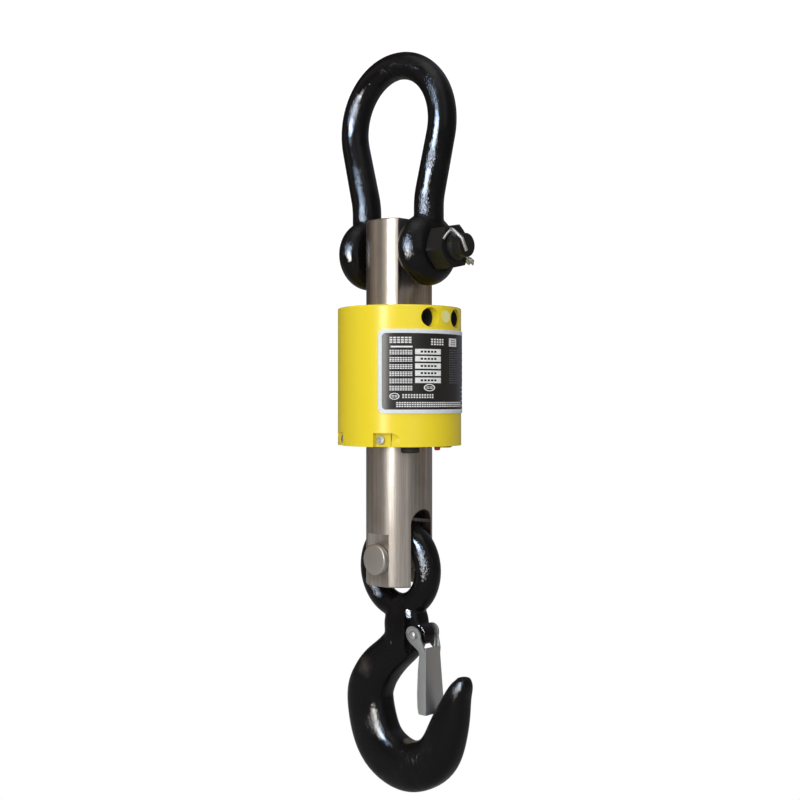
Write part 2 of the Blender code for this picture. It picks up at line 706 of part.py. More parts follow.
def base_plate(mats):
    """The plate that closes the housing from below, with a lug behind each screw pocket."""
    plate_r = SHELL_R - SHELL_WALL - REAR_STEP - GAP
    at = (0, 0, PLATE_Z + PLATE_T / 2)
    plate = cylinder("base_plate", plate_r, PLATE_T, at, mat=mats["yellow_shell"], sides=52)
    screw = pocket_distance(POCKET_SCREW_X)
    lug_depth = (POCKET_DEPTH_N - BLOCK_DEPTH - 9 * MM, POCKET_DEPTH_N - BLOCK_DEPTH + 2 * MM)
    corners = [(sx, sy) for sx in (-1, 1) for sy in (-1, 1)]
    for sx, sy in corners:
        name = f"base_lug_{sx}_{sy}"
        heights = (PLATE_Z + 1 * MM, SHELL_BOTTOM + 12 * MM)
        lug = pocket_box(name, sx, sy, (screw - 4.5 * MM, screw + 4.5 * MM), lug_depth, heights)
        boolean(plate, lug, "UNION")
    for sx, sy in corners:
        boolean(plate, screw_block(f"base_notch_{sx}_{sy}", sx, sy, GAP))
        hole = (lug_depth[0] - 3 * MM, lug_depth[1] + 2 * MM)
        boolean(plate, pocket_cylinder(f"base_thread_{sx}_{sy}", sx, sy, 2.3 * MM, hole, sides=12))
    seal_outer = BAR_R + SEAL_W + GAP
    boolean(plate, cylinder("base_bar_hole", seal_outer + GAP, 20 * MM, (0, 0, PLATE_Z), sides=40))
    for name, (angle, radius, hole_r) in UNDERSIDE_HOLES.items():
        x, y = polar((angle, radius))
        boolean(plate, cylinder(f"{name}_hole", hole_r, 20 * MM, (x, y, PLATE_Z), sides=24))

    top = PLATE_Z + PLATE_T
    ring = [(seal_outer, top), (seal_outer, PLATE_Z), (BAR_R + GAP, PLATE_Z), (BAR_R + GAP, top)]
    turned("base_seal", ring, mats["black_rubber"], steps=40, closed=True)


def polar(place_at):
    angle, radius = place_at
    return radius * math.cos(angle), radius * math.sin(angle)


def screws(mats):
    number = 0
    for sx in (1, -1):
        for sy in (-1, 1):
            number += 1
            seat = POCKET_DEPTH_N + GAP
            depth = (seat, seat + 2.6 * MM)
            name = f"base_screw_{number}"
            head = pocket_cylinder(name, sx, sy, SCREW_HEAD_R, depth, mats["zinc_plate"])
            bevel(head, 0.9 * MM)
            shank = (POCKET_DEPTH_N - BLOCK_DEPTH - 9 * MM, seat + 1 * MM)
            boolean(head, pocket_cylinder(f"base_shank_{number}", sx, sy, 2 * MM, shank, sides=12), "UNION")
            clamp_screw(f"clamp_screw_{number}", sx, sy, mats["black_oxide"])


def clamp_screw(name, sx, sy, mat):
    """A socket-head screw from a well's floor into the bar's flat."""
    edge = 0.6 * MM
    shank_r = 3 * MM
    start = FLAT_X - 7.5 * MM
    floor = WELL_FLOOR_X + GAP
    end = floor + CLAMP_HEAD_H
    profile = [(0, end), (CLAMP_HEAD_R - edge, end), (CLAMP_HEAD_R, end - edge), (CLAMP_HEAD_R, floor)]
    profile += [(shank_r, floor), (shank_r, start), (0, start)]
    screw = turned(name, profile, mat, axis="X", centre=(0, sy * WELL_Y, WELL_Z), steps=16)
    key = cylinder(f"{name}_key", 2.9 * MM, 6 * MM, (end, sy * WELL_Y, WELL_Z), "X", sides=6)
    if sx < 0:
        screw.data.transform(Matrix.Diagonal((1, -1, -1, 1)))
        key.data.transform(Matrix.Rotation(math.pi, 4, "Z"))
        key.data.transform(Matrix.Translation((0, 2 * sy * WELL_Y, 0)))
    boolean(screw, key)


def labels(mats):
    radius = SHELL_R + GAP
    bm = bmesh.new()
    start = Matrix.Rotation(-NAMEPLATE_HALF_ANGLE, 4, "Z")
    top = bm.verts.new(start @ Vector((radius, 0, NAMEPLATE_TOP)))
    bottom = bm.verts.new(start @ Vector((radius, 0, NAMEPLATE_TOP - NAMEPLATE_H)))
    bm.edges.new((top, bottom))
    plate = mesh_object("nameplate", bm, mats["nameplate_print"])
    spin(plate, 28, 2 * NAMEPLATE_HALF_ANGLE)
    wall = plate.modifiers.new("sheet", "SOLIDIFY")
    wall.thickness = 0.6 * MM
    wall.offset = 1.0
    at = (radius + 0.2 * MM, 0, STICKER_Z)
    cylinder("number_sticker", STICKER_R, 0.3 * MM, at, "X", mats["sticker_paper"], sides=28)


def underside(mats):
    x, y = polar(SOCKET_PLACE)
    low = SHELL_BOTTOM - SOCKET_DROP
    edge = 1 * MM
    top = PLATE_Z + 9 * MM
    under = PLATE_Z - GAP
    floor = low + 7 * MM
    profile = [(0, top), (SOCKET_BODY_R, top), (SOCKET_BODY_R, under), (SOCKET_R, under)]
    profile += [(SOCKET_R, low + edge), (SOCKET_R - edge, low), (SOCKET_BORE_R, low)]
    profile += [(SOCKET_BORE_R, floor), (0, floor)]
    socket = turned("charge_socket", profile, mats["black_plastic"], centre=(x, y, 0), steps=22)
    for turn in (90, 210, 330):
        px = x + 2.8 * MM * math.cos(math.radians(turn))
        py = y + 2.8 * MM * math.sin(math.radians(turn))
        contact = cylinder(f"socket_contact_{turn}", 0.8 * MM, 4 * MM, (px, py, low + 6 * MM), sides=10)
        boolean(socket, contact, "UNION")

    x, y = polar(BUTTON_PLACE)
    low = SHELL_BOTTOM - BUTTON_DROP
    stem_top = PLATE_Z + PLATE_T + 3 * MM
    flange_low = PLATE_Z - 0.5 * MM
    profile = [(0, stem_top), (BUTTON_FLANGE_R, stem_top), (BUTTON_FLANGE_R, flange_low)]
    profile += [(BUTTON_R, flange_low - GAP), (BUTTON_R - 0.3 * MM, low + edge)]
    profile += [(BUTTON_R - 1.1 * MM, low), (0, low)]
    turned("power_button", profile, mats["red_plastic"], centre=(x, y, 0), steps=20)
    body_low = stem_top + BUTTON_TRAVEL + GAP
    at = (x, y, body_low + 4.5 * MM)
    switch = box("switch_body", (10 * MM, 10 * MM, 9 * MM), at, mats["black_plastic"])
    bevel(switch, 0.6 * MM, 1)

    x, y = polar(ANTENNA_PLACE)
    top = PLATE_Z + 8 * MM
    low = SHELL_BOTTOM - 2.3 * MM
    profile = [(0, top), (ANTENNA_BODY_R, top), (ANTENNA_BODY_R, under), (ANTENNA_CAP_R, under)]
    profile += [(ANTENNA_CAP_R, low + edge), (ANTENNA_CAP_R - edge, low), (0, low)]
    turned("antenna_cap", profile, mats["black_plastic"], centre=(x, y, 0), steps=20)
    rod_low = top + GAP
    cylinder("antenna", 3 * MM, 45 * MM, (x, y, rod_low + 22.5 * MM), mat=mats["black_rubber"], sides=16)


# ---------------------------------------------------------------- electronics

def electronics(mats):
    board_z = BOARD_BOTTOM + BOARD_H / 2
    box("circuit_board", (BOARD_W, BOARD_T, BOARD_H), (0, BOARD_Y, board_z), mats["board_green"])
    front = BOARD_Y - BOARD_T / 2 - GAP
    module = box("radio_module", (18 * MM, 3 * MM, 24 * MM), (-11 * MM, front - 1.5 * MM, board_z + 12 * MM))
    place(module, PARTS, mats["zinc_plate"])
    bevel(module, 0.5 * MM, 1)

    sheet = 1.5 * MM
    leg_y = BOARD_Y + BOARD_T / 2 + GAP
    leg_top = BOARD_BOTTOM + 18 * MM
    toe_y = leg_y - 10 * MM
    foot = PLATE_Z + PLATE_T + GAP
    outline = [(leg_y, leg_top), (leg_y + sheet, leg_top), (leg_y + sheet, foot)]
    outline += [(toe_y, foot), (toe_y, foot + sheet), (leg_y, foot + sheet)]
    extruded("board_bracket", outline, 16 * MM, OUTLINE_FACING_X, mats["zinc_plate"])


def batteries(mats):

    for number in range(1, 5):
        offset = CELL_STEP * (number - 2.5)
        x, y = polar((math.pi + math.radians(offset), CELL_RING))
        z = CELL_TOP - CELL_H / 2
        cell = cylinder(f"battery_cell_{number}", CELL_R, CELL_H, (x, y, z), mat=mats["cell_wrap"], sides=20)
        bevel(cell, 0.8 * MM, 1)
    battery_tray("battery_tray", CELL_TOP - CELL_H - GAP - TRAY_T / 2, mats["white_plastic"])
    battery_tray("battery_cap", CELL_TOP + GAP + TRAY_T / 2, mats["white_plastic"])



def cables(mats):
    cable = [
        (0, 28, -283), (0, 30, -283), (1, 32.5, -285), (3.5, 34.5, -289),
        (6, 36.2, -294), (7.5, 38.2, -297.5), (8, 39.6, -298.5), (8, 40.8, -298.5),
    ]
    as_mesh(tube("gauge_cable", [Vector(p) * MM for p in cable], CABLE_R), mats["cable_sheath"])
    x, y = polar(SOCKET_PLACE)
    start = PLATE_Z + 9.5 * MM
    first = Vector((x, y, start))
    lead = [
        (0, 0, 0), (0, 0, 6), (-2, -3, 14), (-13, -9.5, 20),
        (-27, -15, 22), (-40, -16, 22), (-52, -14, 22),
    ]
    as_mesh(tube("charge_lead", [first + Vector(p) * MM for p in lead], LEAD_R), mats["cable_sheath"])


def battery_tray(name, z, mat):
    """A curved strip across the ends of the cells."""
    bm = bmesh.new()
    start = Matrix.Rotation(math.pi - TRAY_HALF_ANGLE, 4, "Z")
    inner = bm.verts.new(start @ Vector((CELL_RING - TRAY_HALF_W, 0, z)))
    outer = bm.verts.new(start @ Vector((CELL_RING + TRAY_HALF_W, 0, z)))
    bm.edges.new((inner, outer))
    tray = mesh_object(name, bm, mat)
    spin(tray, 16, 2 * TRAY_HALF_ANGLE)
    wall = tray.modifiers.new("sheet", "SOLIDIFY")
    wall.thickness = TRAY_T
    wall.offset = 0.0


# ---------------------------------------------------------------- hook

def hook_section(position):
    """One section of the hook's body, square to its centreline."""
    x, z, depth, width = (spline_value([row[i] for row in HOOK_STATIONS], position) * MM for i in range(4))
    step = 0.05
    ahead = min(position + step, len(HOOK_STATIONS) - 1)
    behind = max(position - step, 0)
    along_x = [row[0] for row in HOOK_STATIONS]
    along_z = [row[1] for row in HOOK_STATIONS]
    run_x = spline_value(along_x, ahead) - spline_value(along_x, behind)
    run_z = spline_value(along_z, ahead) - spline_value(along_z, behind)
    length = math.hypot(run_x, run_z)
    across = Vector((-run_z / length, 0, run_x / length))
    centre = Vector((x, 0, z))
    points = []
    power = HOOK_SECTION_POWER
    for i in range(HOOK_SECTION_SIDES):
        turn = math.tau * (i + 0.5) / HOOK_SECTION_SIDES
        c = math.cos(turn)
        s = math.sin(turn)
        grow = (abs(c) ** power + abs(s) ** power) ** (-1 / power)
        points.append(centre + across * depth * c * grow + Vector((0, width * s * grow, 0)))
    return points


def hook(mats):
    last = len(HOOK_STATIONS) - 1
    rings = [hook_section(i / RINGS_PER_STATION) for i in range(last * RINGS_PER_STATION + 1)]
    body = loft("hook_body", rings, mats["black_enamel"])
    eye = [(EYE_R + EYE_TUBE_R * math.cos(t), EYE_TUBE_R * math.sin(t))
           for t in (-math.tau * i / 12 for i in range(12))]
    ring = turned("hook_eye", eye, axis="Y", centre=(EYE_X, 0, EYE_Z), steps=32, closed=True)
    boolean(body, ring, "UNION")
    boolean(body, cylinder("latch_lug", LUG_R, LUG_HALF * 2, (LATCH_X, 0, LATCH_Z), "Y", sides=24), "UNION")
    for side in (-1, 1):
        at = (LATCH_X, side * (LUG_HALF + 10 * MM), LATCH_Z)
        boolean(body, cylinder(f"spring_room_{side}", 7 * MM, 20 * MM, at, "Y", sides=20))
        size = (26 * MM, 10 * MM, 42 * MM)
        at = (LATCH_FLAT_X + 13 * MM, side * (LATCH_EAR_Y - 1.7 * MM + 5 * MM), LATCH_Z - 6 * MM)
        boolean(body, box(f"latch_flat_{side}", size, at))
    at = (LATCH_X, 0, LATCH_Z)
    boolean(body, cylinder("latch_pin_bore", LATCH_PIN_R + GAP, 60 * MM, at, "Y", sides=16))


def latch(mats):
    """A pressed channel whose two ears turn on the pin and whose web closes the throat."""
    rings = []
    for z, x, depth, half_width in LATCH_ROWS:
        wide = half_width * MM
        thin = wide - LATCH_SHEET
        outer = x * MM
        web = outer - LATCH_SHEET
        lip = outer - depth * MM
        height = z * MM
        outside = [(lip, wide, height), (outer, wide, height), (outer, -wide, height), (lip, -wide, height)]
        inside = [(lip, -thin, height), (web, -thin, height), (web, thin, height), (lip, thin, height)]
        rings.append(outside + inside)
    body = loft("latch", rings, mats["zinc_plate"])
    outline = arc((0, 0), LATCH_EAR_R, math.radians(-15), math.radians(235), 14)
    outline += [(4.8 * MM, -13.5 * MM), (5.2 * MM, -17 * MM), (12.1 * MM, -17 * MM), (11.9 * MM, -11.5 * MM)]
    for side in (-1, 1):
        at = Matrix.Translation((LATCH_X, side * (LATCH_EAR_Y + LATCH_SHEET / 2), LATCH_Z))
        tilt = Matrix.Rotation(-side * LATCH_EAR_TILT, 4, "X")
        ear_sheet = extruded(f"latch_ear_{side}", outline, LATCH_SHEET, at @ tilt @ OUTLINE_FACING_Y)
        boolean(body, ear_sheet, "UNION")
    at = (LATCH_X, 0, LATCH_Z)
    boolean(body, cylinder("latch_bore", LATCH_PIN_R + GAP, 60 * MM, at, "Y", sides=16))


def latch_pin(mats):
    end = LATCH_EAR_Y + LATCH_SHEET + LATCH_HEAD_GAP
    dome = [(0, 1.6 * MM), (2 * MM, 1.5 * MM), (3.5 * MM, 0.9 * MM), (LATCH_HEAD_R, 0)]
    profile = [(radius, end + height) for radius, height in dome]
    profile += [(LATCH_PIN_R, end), (LATCH_PIN_R, -end)]
    profile += [(radius, -end - height) for radius, height in reversed(dome)]
    turned("latch_pin", profile, mats["zinc_plate"], axis="Y", centre=(LATCH_X, 0, LATCH_Z), steps=16)


def latch_spring(mats):
    """A coil beside the lug, with a leg that rests inside the latch's web."""
    count = int(SPRING_TURNS * SPRING_PER_TURN)
    points = []
    for i in range(count + 1):
        angle = math.radians(200) - math.tau * i / SPRING_PER_TURN
        x = LATCH_X + SPRING_COIL_R * math.cos(angle)
        z = LATCH_Z + SPRING_COIL_R * math.sin(angle)
        points.append((x, LUG_HALF + 0.9 * MM + 2.2 * MM * i / count, z))
    points.append((36.3 * MM, LUG_HALF + 1.4 * MM, -503.5 * MM))
    points.append((37.8 * MM, LUG_HALF - 0.9 * MM, -507.5 * MM))
    points.append((38.9 * MM, LUG_HALF - 2.2 * MM, -514 * MM))
    points.append((39.4 * MM, LUG_HALF - 2.5 * MM, -524 * MM))
    as_mesh(tube("latch_spring", points, SPRING_WIRE_R), mats["zinc_plate"])


def hook_pin(mats):
    head_y = -(PAD_Y + GAP)
    head_end = head_y - PIN_HEAD_H
    edge = 1 * MM
    far = PAD_Y + PIN_REACH
    groove = PAD_Y + GROOVE_AT
    groove_end = groove + GROOVE_W
    neck_r = PIN_R - GROOVE_DEPTH
    profile = [(0, far), (PIN_R - edge, far), (PIN_R, far - edge), (PIN_R, groove_end)]
    profile += [(neck_r, groove_end), (neck_r, groove), (PIN_R, groove), (PIN_R, head_y)]
    profile += [(PIN_HEAD_R, head_y), (PIN_HEAD_R, head_end + edge), (PIN_HEAD_R - edge, head_end)]
    profile.append((0, head_end))
    turned("hook_pin", profile, mats["stainless"], axis="Y", centre=(0, 0, PIN_Z), steps=28)

    near = PAD_Y + GAP
    bore = PIN_R + GAP
    washer = [(WASHER_R, near + WASHER_T), (WASHER_R, near), (bore, near), (bore, near + WASHER_T)]
    turned("pin_washer", washer, mats["stainless"], axis="Y", centre=(0, 0, PIN_Z), steps=28, closed=True)

    low = groove + GAP
    high = groove_end - GAP
    rings = [(PIN_R + CLIP_W, high), (PIN_R + CLIP_W, low), (neck_r + GAP, low), (neck_r + GAP, high)]
    at = (0, 0, PIN_Z)
    clip = turned("pin_clip", rings, mats["black_oxide"], axis="Y", centre=at, steps=24, closed=True)
    boolean(clip, box("clip_gap", (6 * MM, 6 * MM, 20 * MM), (0, groove, PIN_Z - 16 * MM)))


def make_hanger():
    """The upright axis that everything below the shackle is built around."""
    hanger = bpy.data.objects.new("bar_axis", None)
    hanger.location = (BAR_X, 0, 0)
    PARTS.objects.link(hanger)
    return hanger


def main():
    global PARTS, CUTTERS, HANGER
    clear_scene()
    PARTS = new_collection("crane_scale")
    CUTTERS = new_collection("cutters")
    mats = make_materials()
    shackle_bow(mats)
    shackle_bolt_set(mats)
    HANGER = make_hanger()
    load_cell(mats)
    gauges(mats)
    housing(mats)
    base_plate(mats)
    screws(mats)
    labels(mats)
    underside(mats)
    electronics(mats)
    batteries(mats)
    cables(mats)
    hook_pin(mats)
    hook(mats)
    latch(mats)
    latch_pin(mats)
    latch_spring(mats)


main()
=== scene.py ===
"""Looks of a hanging crane scale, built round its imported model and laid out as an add-on."""
import json
import math

import bmesh
import bpy
from bpy.props import FloatProperty, FloatVectorProperty, IntProperty, PointerProperty
from mathutils import Matrix, Vector

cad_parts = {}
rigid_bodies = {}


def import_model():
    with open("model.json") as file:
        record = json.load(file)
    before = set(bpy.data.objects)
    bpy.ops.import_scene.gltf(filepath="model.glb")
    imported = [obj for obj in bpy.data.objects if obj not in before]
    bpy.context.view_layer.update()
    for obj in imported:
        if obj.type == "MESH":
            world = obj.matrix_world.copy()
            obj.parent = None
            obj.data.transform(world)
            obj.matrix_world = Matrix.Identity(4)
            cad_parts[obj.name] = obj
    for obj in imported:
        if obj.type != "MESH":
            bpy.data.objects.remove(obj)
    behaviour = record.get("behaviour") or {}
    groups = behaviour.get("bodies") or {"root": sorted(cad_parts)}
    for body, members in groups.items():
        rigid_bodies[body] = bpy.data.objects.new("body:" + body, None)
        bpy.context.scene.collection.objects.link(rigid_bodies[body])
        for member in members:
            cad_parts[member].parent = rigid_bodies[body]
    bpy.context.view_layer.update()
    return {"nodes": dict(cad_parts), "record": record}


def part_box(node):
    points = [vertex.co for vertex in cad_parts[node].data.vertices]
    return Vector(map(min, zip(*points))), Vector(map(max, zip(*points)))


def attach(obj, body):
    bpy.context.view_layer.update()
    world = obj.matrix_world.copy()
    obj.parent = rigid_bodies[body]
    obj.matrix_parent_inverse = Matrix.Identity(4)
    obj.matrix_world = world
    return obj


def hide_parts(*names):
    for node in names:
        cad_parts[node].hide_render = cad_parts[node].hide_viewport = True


bl_info = {
    "name": "Crane Scale",
    "version": (1, 0, 0),
    "blender": (4, 5, 0),
    "location": "View3D > Sidebar > Crane Scale",
    "description": "Builds the finished pieces, finishes and stage of a hanging crane scale",
    "category": "Object",
}

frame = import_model()
NODES = frame["nodes"]
BODIES = frame["record"]["behaviour"]["bodies"]
BODY_OF = {node: body for body, nodes in BODIES.items() for node in nodes}
SLOT_OF = {part["node"]: part["material_slot"] for part in frame["record"]["subparts"]}
MM = 0.001

# Shackle bow, in metres; the crown's inside top is the origin
CROWN_RADIUS = 55 * MM
CROWN_ROD_R = 12.1 * MM
LIMB_ROD_R = 12.8 * MM
EAR_ROD_R = 13.4 * MM
LIMB_LEAN = math.radians(14.5)
LIMB_X = 39 * MM
LIMB_BLEND_R = 60 * MM
BOLT_Z = -157 * MM
EAR_BORE_R = 12.8 * MM
THREAD_R = 11.9 * MM
CREST_R = 0.55 * MM
# Distance from the middle plane and outer radius of an ear, in mm
EAR_PROFILE = [(25.8, 24.6), (26.5, 26.4), (29, 29.6), (33.5, 31.7), (38, 32.2), (43, 30.8), (47.5, 27.8),
               (50.8, 23.8), (52.5, 20.5)]

# Load cell bar, whose axis is also the housing's
BAR_X = 2.5 * MM
BAR_R = 30 * MM
SLOT_END_R = 13 * MM
SLOT_END_Z = -401 * MM

# Hook
HOOK_PIN_R = 12.3 * MM
PIN_Z = -432.8 * MM
EYE_R = 34.3 * MM
EYE_TUBE_R = 11.8 * MM
EYE_X = BAR_X + 1 * MM
EYE_Z = PIN_Z + HOOK_PIN_R - (EYE_R - EYE_TUBE_R)
LATCH_X = BAR_X + 29 * MM
LATCH_Z = -499 * MM
LUG_HALF = 7 * MM
LUG_R = 9.5 * MM
LATCH_BORE_R = 3.3 * MM
ROOM_R = 7 * MM
FLAT_Y = 9.5 * MM
CUT_REACH = 30 * MM
# Centre of the section, half its depth and half its width, in mm, from the neck to the tip
HOOK_STATIONS = [
    (5, -468, 14, 11), (8.9, -486, 21.5, 14), (8.9, -500, 21, 15), (4, -511, 18.2, 15.5),
    (-8, -522, 17.6, 16), (-21, -533.5, 19.5, 16), (-31.5, -547, 21.2, 16), (-37.5, -567, 23.3, 16),
    (-24, -606, 24, 16.5), (12, -620.7, 22.6, 16.5), (46, -606, 20.5, 15.5), (61.5, -574, 17, 14),
    (70.5, -549, 11, 11.5), (76.5, -537, 8, 9), (77.2, -530.5, 4.5, 5.5),
]
SECTION_POWER = 2.7

# Housing; the wells are the round pockets of its clamp screws
SHELL_RADII = {"front_shell": 56.2 * MM, "rear_shell": 55.6 * MM}
SHELL_WALL = 3 * MM
WELL_R = 8.5 * MM
WELL_Y = 16.4 * MM
WELL_Z = -218.7 * MM
WELL_FLOOR = 35 * MM
# Length, width and depth of one arm of a screw's cross recess, in mm
RECESS_ARM = (4.2, 1.0, 2.4)

# Nameplate, unrolled: distance round the housing from its middle, and height
PLATE_R = 57.0 * MM
PLATE_HALF_U = 64.6 * MM
PLATE_TOP = -229.3 * MM
PLATE_BOTTOM = -302.6 * MM
BORDER_W = 3.6 * MM
PLATE_CORNER = 5.5 * MM
PLATE_BURIED = 0.75 * MM
PLATE_RAISED = 0.18 * MM

FLOAT = "NodeSocketFloat"
INTEGER = "NodeSocketInt"
VECTOR = "NodeSocketVector"
MATERIAL = "NodeSocketMaterial"


# ---------------------------------------------------------------- node helpers

def put(tree, kind, sockets=None, **settings):
    """Add a node, set its own settings, and fill its inputs with values or links."""
    made = tree.nodes.new(kind)
    for key, value in settings.items():
        setattr(made, key, value)
    for key, value in (sockets or {}).items():
        socket = made.inputs[key]
        if isinstance(value, bpy.types.NodeSocket):
            tree.links.new(value, socket)
        else:
            socket.default_value = value
    return made


def maths(tree, operation, first, second=0.0, third=None, clamp=False):
    sockets = {0: first, 1: second}
    if third is not None:
        sockets[2] = third
    return put(tree, "ShaderNodeMath", sockets, operation=operation, use_clamp=clamp).outputs[0]


def between(tree, value, low, high):
    """A mask that rises smoothly from 0 at low to 1 at high."""
    return put(tree, "ShaderNodeMapRange", {"Value": value, "From Min": low, "From Max": high},
               interpolation_type="SMOOTHSTEP").outputs[0]


def mixed(tree, factor, first, second):
    made = put(tree, "ShaderNodeMix", {0: factor}, data_type="RGBA")
    for index, value in ((6, first), (7, second)):
        if isinstance(value, bpy.types.NodeSocket):
            tree.links.new(value, made.inputs[index])
        else:
            made.inputs[index].default_value = (*value[:3], 1.0)
    return made.outputs[2]


def noise(tree, vector, scale, detail=3.0, rough=0.55):
    return put(tree, "ShaderNodeTexNoise",
               {"Vector": vector, "Scale": scale, "Detail": detail, "Roughness": rough}).outputs[0]


def group_tree(name, inputs, outputs):
    """A shader node group with named float or vector inputs and named outputs."""
    tree = bpy.data.node_groups.new(name, "ShaderNodeTree")
    for label, kind, value in inputs:
        socket = tree.interface.new_socket(label, in_out="INPUT", socket_type=kind)
        socket.default_value = value
    for label, kind in outputs:
        tree.interface.new_socket(label, in_out="OUTPUT", socket_type=kind)
    start = tree.nodes.new("NodeGroupInput")
    end = tree.nodes.new("NodeGroupOutput")
    return tree, start.outputs, end.inputs


def use(tree, group, sockets=None):
    return put(tree, "ShaderNodeGroup", sockets, node_tree=group).outputs


def own_place(tree):
    """Where a point lies in its own object."""
    return put(tree, "ShaderNodeTexCoord").outputs["Object"]


def grain_group():
    """Three sizes of noise: broad mottle, fine grain, and the two summed as a height."""
    tree, given, out = group_tree("surface_grain", [
        ("Broad Scale", FLOAT, 30.0), ("Fine Scale", FLOAT, 900.0),
        ("Stretch", VECTOR, (1.0, 1.0, 1.0)), ("Fine Share", FLOAT, 0.5),
    ], [("Broad", FLOAT), ("Fine", FLOAT), ("Height", FLOAT)])
    place = own_place(tree)
    stretched = put(tree, "ShaderNodeVectorMath", {0: place, 1: given["Stretch"]}, operation="MULTIPLY")
    broad = noise(tree, stretched.outputs[0], given["Broad Scale"], 4.0)
    fine = noise(tree, stretched.outputs[0], given["Fine Scale"], 2.0)
    tree.links.new(broad, out["Broad"])
    tree.links.new(fine, out["Fine"])
    share = maths(tree, "MULTIPLY", fine, given["Fine Share"])
    tree.links.new(maths(tree, "ADD", broad, share), out["Height"])
    return tree


def wear_and_shade_group():
    """A mask of rubbed convex edges, broken up by noise, and one of painted shade in the hollows."""
    tree, given, out = group_tree("edge_wear_and_hollow_shade", [
        ("Amount", FLOAT, 0.5), ("Break Scale", FLOAT, 160.0),
    ], [("Worn", FLOAT), ("Grime", FLOAT)])
    point = put(tree, "ShaderNodeNewGeometry").outputs["Pointiness"]
    place = own_place(tree)
    broken = noise(tree, place, given["Break Scale"], 5.0, 0.65)
    edge = between(tree, point, 0.515, 0.60)
    patchy = between(tree, broken, 0.42, 0.66)
    worn = maths(tree, "MULTIPLY", maths(tree, "MULTIPLY", edge, patchy), given["Amount"], clamp=True)
    tree.links.new(worn, out["Worn"])
    # Painted shade: concave corners and creases are marked to be darkened, as shade would darken them
    hollow = between(tree, point, 0.49, 0.42)
    tree.links.new(maths(tree, "MULTIPLY", hollow, given["Amount"], clamp=True), out["Grime"])
    return tree


def dust_group():
    """A mask of dust that settles on upward faces."""
    tree, given, out = group_tree("settled_dust", [("Amount", FLOAT, 0.3)],
                                  [("Dust", FLOAT)])
    normal = put(tree, "ShaderNodeNewGeometry").outputs["Normal"]
    upward = put(tree, "ShaderNodeSeparateXYZ", {0: normal}).outputs["Z"]
    place = own_place(tree)
    patch = between(tree, noise(tree, place, 70.0, 6.0, 0.6), 0.35, 0.75)
    top = between(tree, upward, 0.3, 1.0)
    dust = maths(tree, "MULTIPLY", maths(tree, "MULTIPLY", top, patch), given["Amount"])
    tree.links.new(dust, out["Dust"])
    return tree


def new_material(name, fixed):
    """An empty Principled material with the sockets that are the same all over the surface."""
    mat = bpy.data.materials.new(name)
    mat.use_nodes = True
    shader = mat.node_tree.nodes["Principled BSDF"]
    for key, value in fixed.items():
        shader.inputs[key].default_value = value
    return mat.node_tree, shader


def bump(tree, height, distance, strength=1.0):
    sockets = {"Height": height, "Distance": distance, "Strength": strength}
    return put(tree, "ShaderNodeBump", sockets).outputs[0]


def wire(tree, shader, **sockets):
    for key, value in sockets.items():
        tree.links.new(value, shader.inputs[key.replace("_", " ")])


def spot(tree, centre, radius, soft):
    """A ball-shaped mask about a point of the object, with a ragged edge."""
    place = own_place(tree)
    away = put(tree, "ShaderNodeVectorMath", {0: place, 1: centre}, operation="DISTANCE").outputs["Value"]
    ragged = noise(tree, place, 120.0, 5.0, 0.65)
    shifted = maths(tree, "MULTIPLY_ADD", ragged, soft, away)
    return between(tree, shifted, radius + soft, radius)


# ---------------------------------------------------------------- finishes

def enamel(name, groups, colour, worn_spots):
    """Glossy enamel over rough forged steel, rubbed to metal at the given spots."""
    tree, shader = new_material(name, {"Specular IOR Level": 0.16})
    grain = use(tree, groups["grain"], {"Broad Scale": 130.0, "Fine Scale": 760.0, "Fine Share": 0.0})
    patch = use(tree, groups["grain"], {"Broad Scale": 22.0, "Fine Scale": 60.0})
    cast = between(tree, patch["Broad"], 0.42, 0.62)
    peel = maths(tree, "MULTIPLY", grain["Fine"], maths(tree, "MULTIPLY_ADD", cast, 0.75, 0.15))
    relief = maths(tree, "MULTIPLY_ADD", grain["Broad"], 0.35, peel)
    wear_and_shade = use(tree, groups["wear_and_shade"], {"Amount": 0.55, "Break Scale": 210.0})
    dust = use(tree, groups["dust"], {"Amount": 0.02})
    paint = mixed(tree, maths(tree, "MULTIPLY", grain["Broad"], 0.5), colour, (0.006, 0.006, 0.007))
    paint = mixed(tree, dust["Dust"], paint, (0.16, 0.15, 0.13))
    bare = maths(tree, "MULTIPLY", wear_and_shade["Worn"], 0.5)
    for centre, radius, soft, depth in worn_spots:
        rubbed = maths(tree, "MULTIPLY", spot(tree, centre, radius, soft), depth)
        bare = maths(tree, "MAXIMUM", bare, rubbed)
    metal = mixed(tree, grain["Broad"], (0.34, 0.27, 0.20), (0.52, 0.47, 0.41))
    glossy = maths(tree, "MULTIPLY_ADD", cast, 0.06, 0.07)
    rough = maths(tree, "ADD", glossy, maths(tree, "MULTIPLY", bare, 0.2), clamp=True)
    normal = bump(tree, relief, 0.0015, 0.50)
    coat = mixed(tree, bare, paint, metal)
    wire(tree, shader, Base_Color=coat, Metallic=bare, Roughness=rough, Normal=normal)


